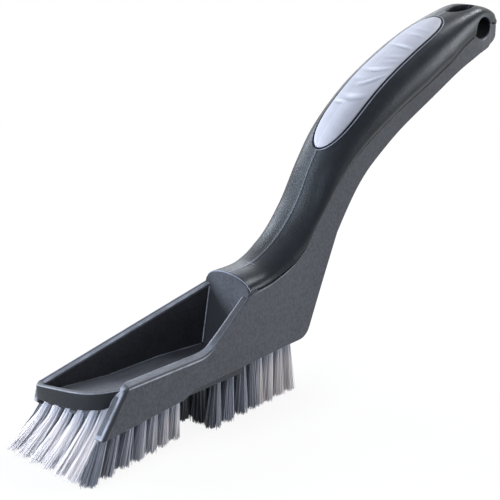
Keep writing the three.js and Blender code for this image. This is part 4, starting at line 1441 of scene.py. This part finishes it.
        gap, thick = size.seam_gap, 1.0
        front = strip(plan.split + gap, FRONT_BLOCK_END - gap)
        dark = strip(REAR_BLOCK_START + gap, plan.rear_split)
        white = strip(plan.rear_split + gap, plan.rear_end - gap)
        front_tones = NEAR_TONES + FAR_TONES + 3 * INNER_TONES
        dark_tones = DARK_TONES + (DARKEST_TONE,) * (len(plan.dark) - len(DARK_TONES))
        nose_radii, radii = (size.nose_root, size.nose_tip), (size.tuft_root, size.tuft_tip)
        step = size.rear_step
        low, high = (0, thick), (step, step + thick)
        groups = [
            ("nose_tufts", plan.nose, NOSE_TONES, plan.nose_root, nose_radii, -0.3, (first, *low), 0),
            ("front_tufts", plan.front, front_tones, 0, radii, 0.45, (front, *low), 0),
            ("rear_dark_tufts", plan.dark, dark_tones, step, radii, 0.4, (dark, *high), REAR_CLIMB),
            ("rear_white_tufts", plan.white, WHITE_TONES, step, radii, 0.3, (white, *high), REAR_CLIMB),
        ]
        slots = ("white_bristle", "grey_bristle", "dark_bristle", "white_bristle")
        for k, (group, slot) in enumerate(zip(groups, slots)):
            piece = self.group(size, *group, k)
            settle(piece, slot, group[0].replace("tufts", "bristles"))
        return {"FINISHED"}


class TRACKBRUSH_OT_anchors(bpy.types.Operator):
    """Finish of the wire anchors inside the block"""

    bl_idname = "trackbrush.anchors"
    bl_label = "Tuft anchors"

    def execute(self, context):
        wire = steel_wire()
        for name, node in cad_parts.items():
            if "_anchor_" in name:
                node.data.materials.clear()
                node.data.materials.append(wire)
        return {"FINISHED"}


class TRACKBRUSH_OT_stage(bpy.types.Operator):
    """Pale floor, soft lamps, white surroundings and the camera"""

    bl_idname = "trackbrush.stage"
    bl_label = "Stage"

    def background_rays(self, tree):
        """1 for rays that look at the background: straight, mirrored or through glass."""
        rays = Shade(tree).make("ShaderNodeLightPath", {}, {}).socket.node.outputs
        camera, glossy, through = (
            Shade(tree, rays[name])
            for name in ("Is Camera Ray", "Is Glossy Ray", "Is Transmission Ray")
        )
        return camera.above(glossy.above(through))

    def floor(self):
        """A level square, white to the camera but with the brush's soft shadow on it near by."""
        half, height = 6.0, -0.0002
        corners = [(-half, -half), (half, -half), (half, half), (-half, half)]
        mesh = bpy.data.meshes.new("floor")
        mesh.from_pydata([(x, y, height) for x, y in corners], [], [(0, 1, 2, 3)])
        material, shader, coords = new_material("studio_floor")
        tree = material.node_tree
        feed(shader, Base_Color=(*bpy.context.scene.brush_colours.floor, 1), Roughness=0.9)
        away = coords.make("ShaderNodeVectorMath", {"operation": "LENGTH"}, {0: coords}, out=1)
        shown = self.background_rays(tree) * (0.9 + 0.1 * away.step(0.12, 0.5))
        glow = coords.make("ShaderNodeEmission", {}, {"Color": (1, 1, 1, 1), "Strength": 1.0})
        lit = Shade(tree, shader.outputs[0])
        mixed = coords.make("ShaderNodeMixShader", {}, {0: shown, 1: lit, 2: glow})
        output = next(node for node in tree.nodes if node.type == "OUTPUT_MATERIAL")
        tree.links.new(mixed.socket, output.inputs["Surface"])
        mesh.materials.append(material)
        floor = bpy.data.objects.new("floor", mesh)
        bpy.context.scene.collection.objects.link(floor)

    def surroundings(self):
        """White to look at, and a low even light on the brush."""
        world = bpy.data.worlds.new("studio")
        world.use_nodes = True
        tree = world.node_tree
        background = next(node for node in tree.nodes if node.type == "BACKGROUND")
        background.inputs["Color"].default_value = (1, 1, 1, 1)
        even = 0.15
        strength = even + (1 - even) * self.background_rays(tree)
        tree.links.new(strength.socket, background.inputs["Strength"])
        bpy.context.scene.world = world

    def lamp(self, name, place, target, power, width, colour):
        """A square soft lamp turned to a target."""
        data = bpy.data.lights.new(name, "AREA")
        data.energy = power
        data.size = width
        data.color = colour
        lamp = bpy.data.objects.new(name, data)
        bpy.context.scene.collection.objects.link(lamp)
        lamp.location = place
        away = lamp.location - Vector(target)
        lamp.rotation_euler = away.to_track_quat("Z", "Y").to_euler()

    def camera(self):
        """A long lens from the front, a little above the brush, without depth of field."""
        data = bpy.data.cameras.new("camera")
        data.lens = 100.77
        data.sensor_width = 36.0
        camera = bpy.data.objects.new("camera", data)
        bpy.context.scene.collection.objects.link(camera)
        camera.location = (-0.34929, -0.35655, 0.20734)
        camera.rotation_euler = (math.radians(72.757), 0, math.radians(-42.833))
        bpy.context.scene.camera = camera

    def execute(self, context):
        self.floor()
        self.surroundings()
        middle, tip = (0, 0, 0.06), (0.11, 0, 0.12)
        cool, plain_white = (0.84, 0.91, 1.0), (1, 1, 1)
        self.lamp("key", (-0.46, 0.66, 0.46), middle, power=3.0, width=0.26, colour=cool)
        self.lamp("back", (0.50, 0.72, 0.45), middle, power=2.0, width=0.4, colour=cool)
        self.lamp("crest", (-0.05, 0.83, 0.42), middle, power=3.5, width=0.3, colour=cool)
        self.lamp("front", (-0.92, 0.04, 0.26), middle, power=9.0, width=0.3, colour=cool)
        self.lamp("right", (0.75, -0.55, 0.22), middle, power=5.6, width=0.4, colour=plain_white)
        self.lamp("above", (0.67, 0.03, 0.83), tip, power=5.5, width=0.16, colour=plain_white)
        self.camera()
        context.scene.view_settings.view_transform = "Standard"
        return {"FINISHED"}


STEPS = (
    TRACKBRUSH_OT_body,
    TRACKBRUSH_OT_shell,
    TRACKBRUSH_OT_pad,
    TRACKBRUSH_OT_bristles,
    TRACKBRUSH_OT_anchors,
    TRACKBRUSH_OT_stage,
)


class TRACKBRUSH_PT_panel(bpy.types.Panel):
    """Sizes, colours and pieces of the brush"""

    bl_label = "Window track brush"
    bl_space_type = "VIEW_3D"
    bl_region_type = "UI"
    bl_category = "Track brush"

    def draw(self, context):
        for group in ("brush_sizes", "brush_counts", "brush_colours"):
            owner = getattr(context.scene, group)
            for key in type(owner).__annotations__:
                self.layout.prop(owner, key)
        for step in STEPS:
            self.layout.operator(step.bl_idname)


CLASSES = (BrushSizes, BrushCounts, BrushColours, *STEPS, TRACKBRUSH_PT_panel)


def register():
    for cls in CLASSES:
        bpy.utils.register_class(cls)
    bpy.types.Scene.brush_sizes = bpy.props.PointerProperty(type=BrushSizes)
    bpy.types.Scene.brush_counts = bpy.props.PointerProperty(type=BrushCounts)
    bpy.types.Scene.brush_colours = bpy.props.PointerProperty(type=BrushColours)


def unregister():
    for key in ("brush_sizes", "brush_counts", "brush_colours"):
        delattr(bpy.types.Scene, key)
    for cls in reversed(CLASSES):
        bpy.utils.unregister_class(cls)


def main():
    register()
    bpy.ops.trackbrush.body()
    bpy.ops.trackbrush.shell()
    bpy.ops.trackbrush.pad()
    bpy.ops.trackbrush.bristles()
    bpy.ops.trackbrush.anchors()
    bpy.ops.trackbrush.stage()


if __name__ == "__main__":
    main()
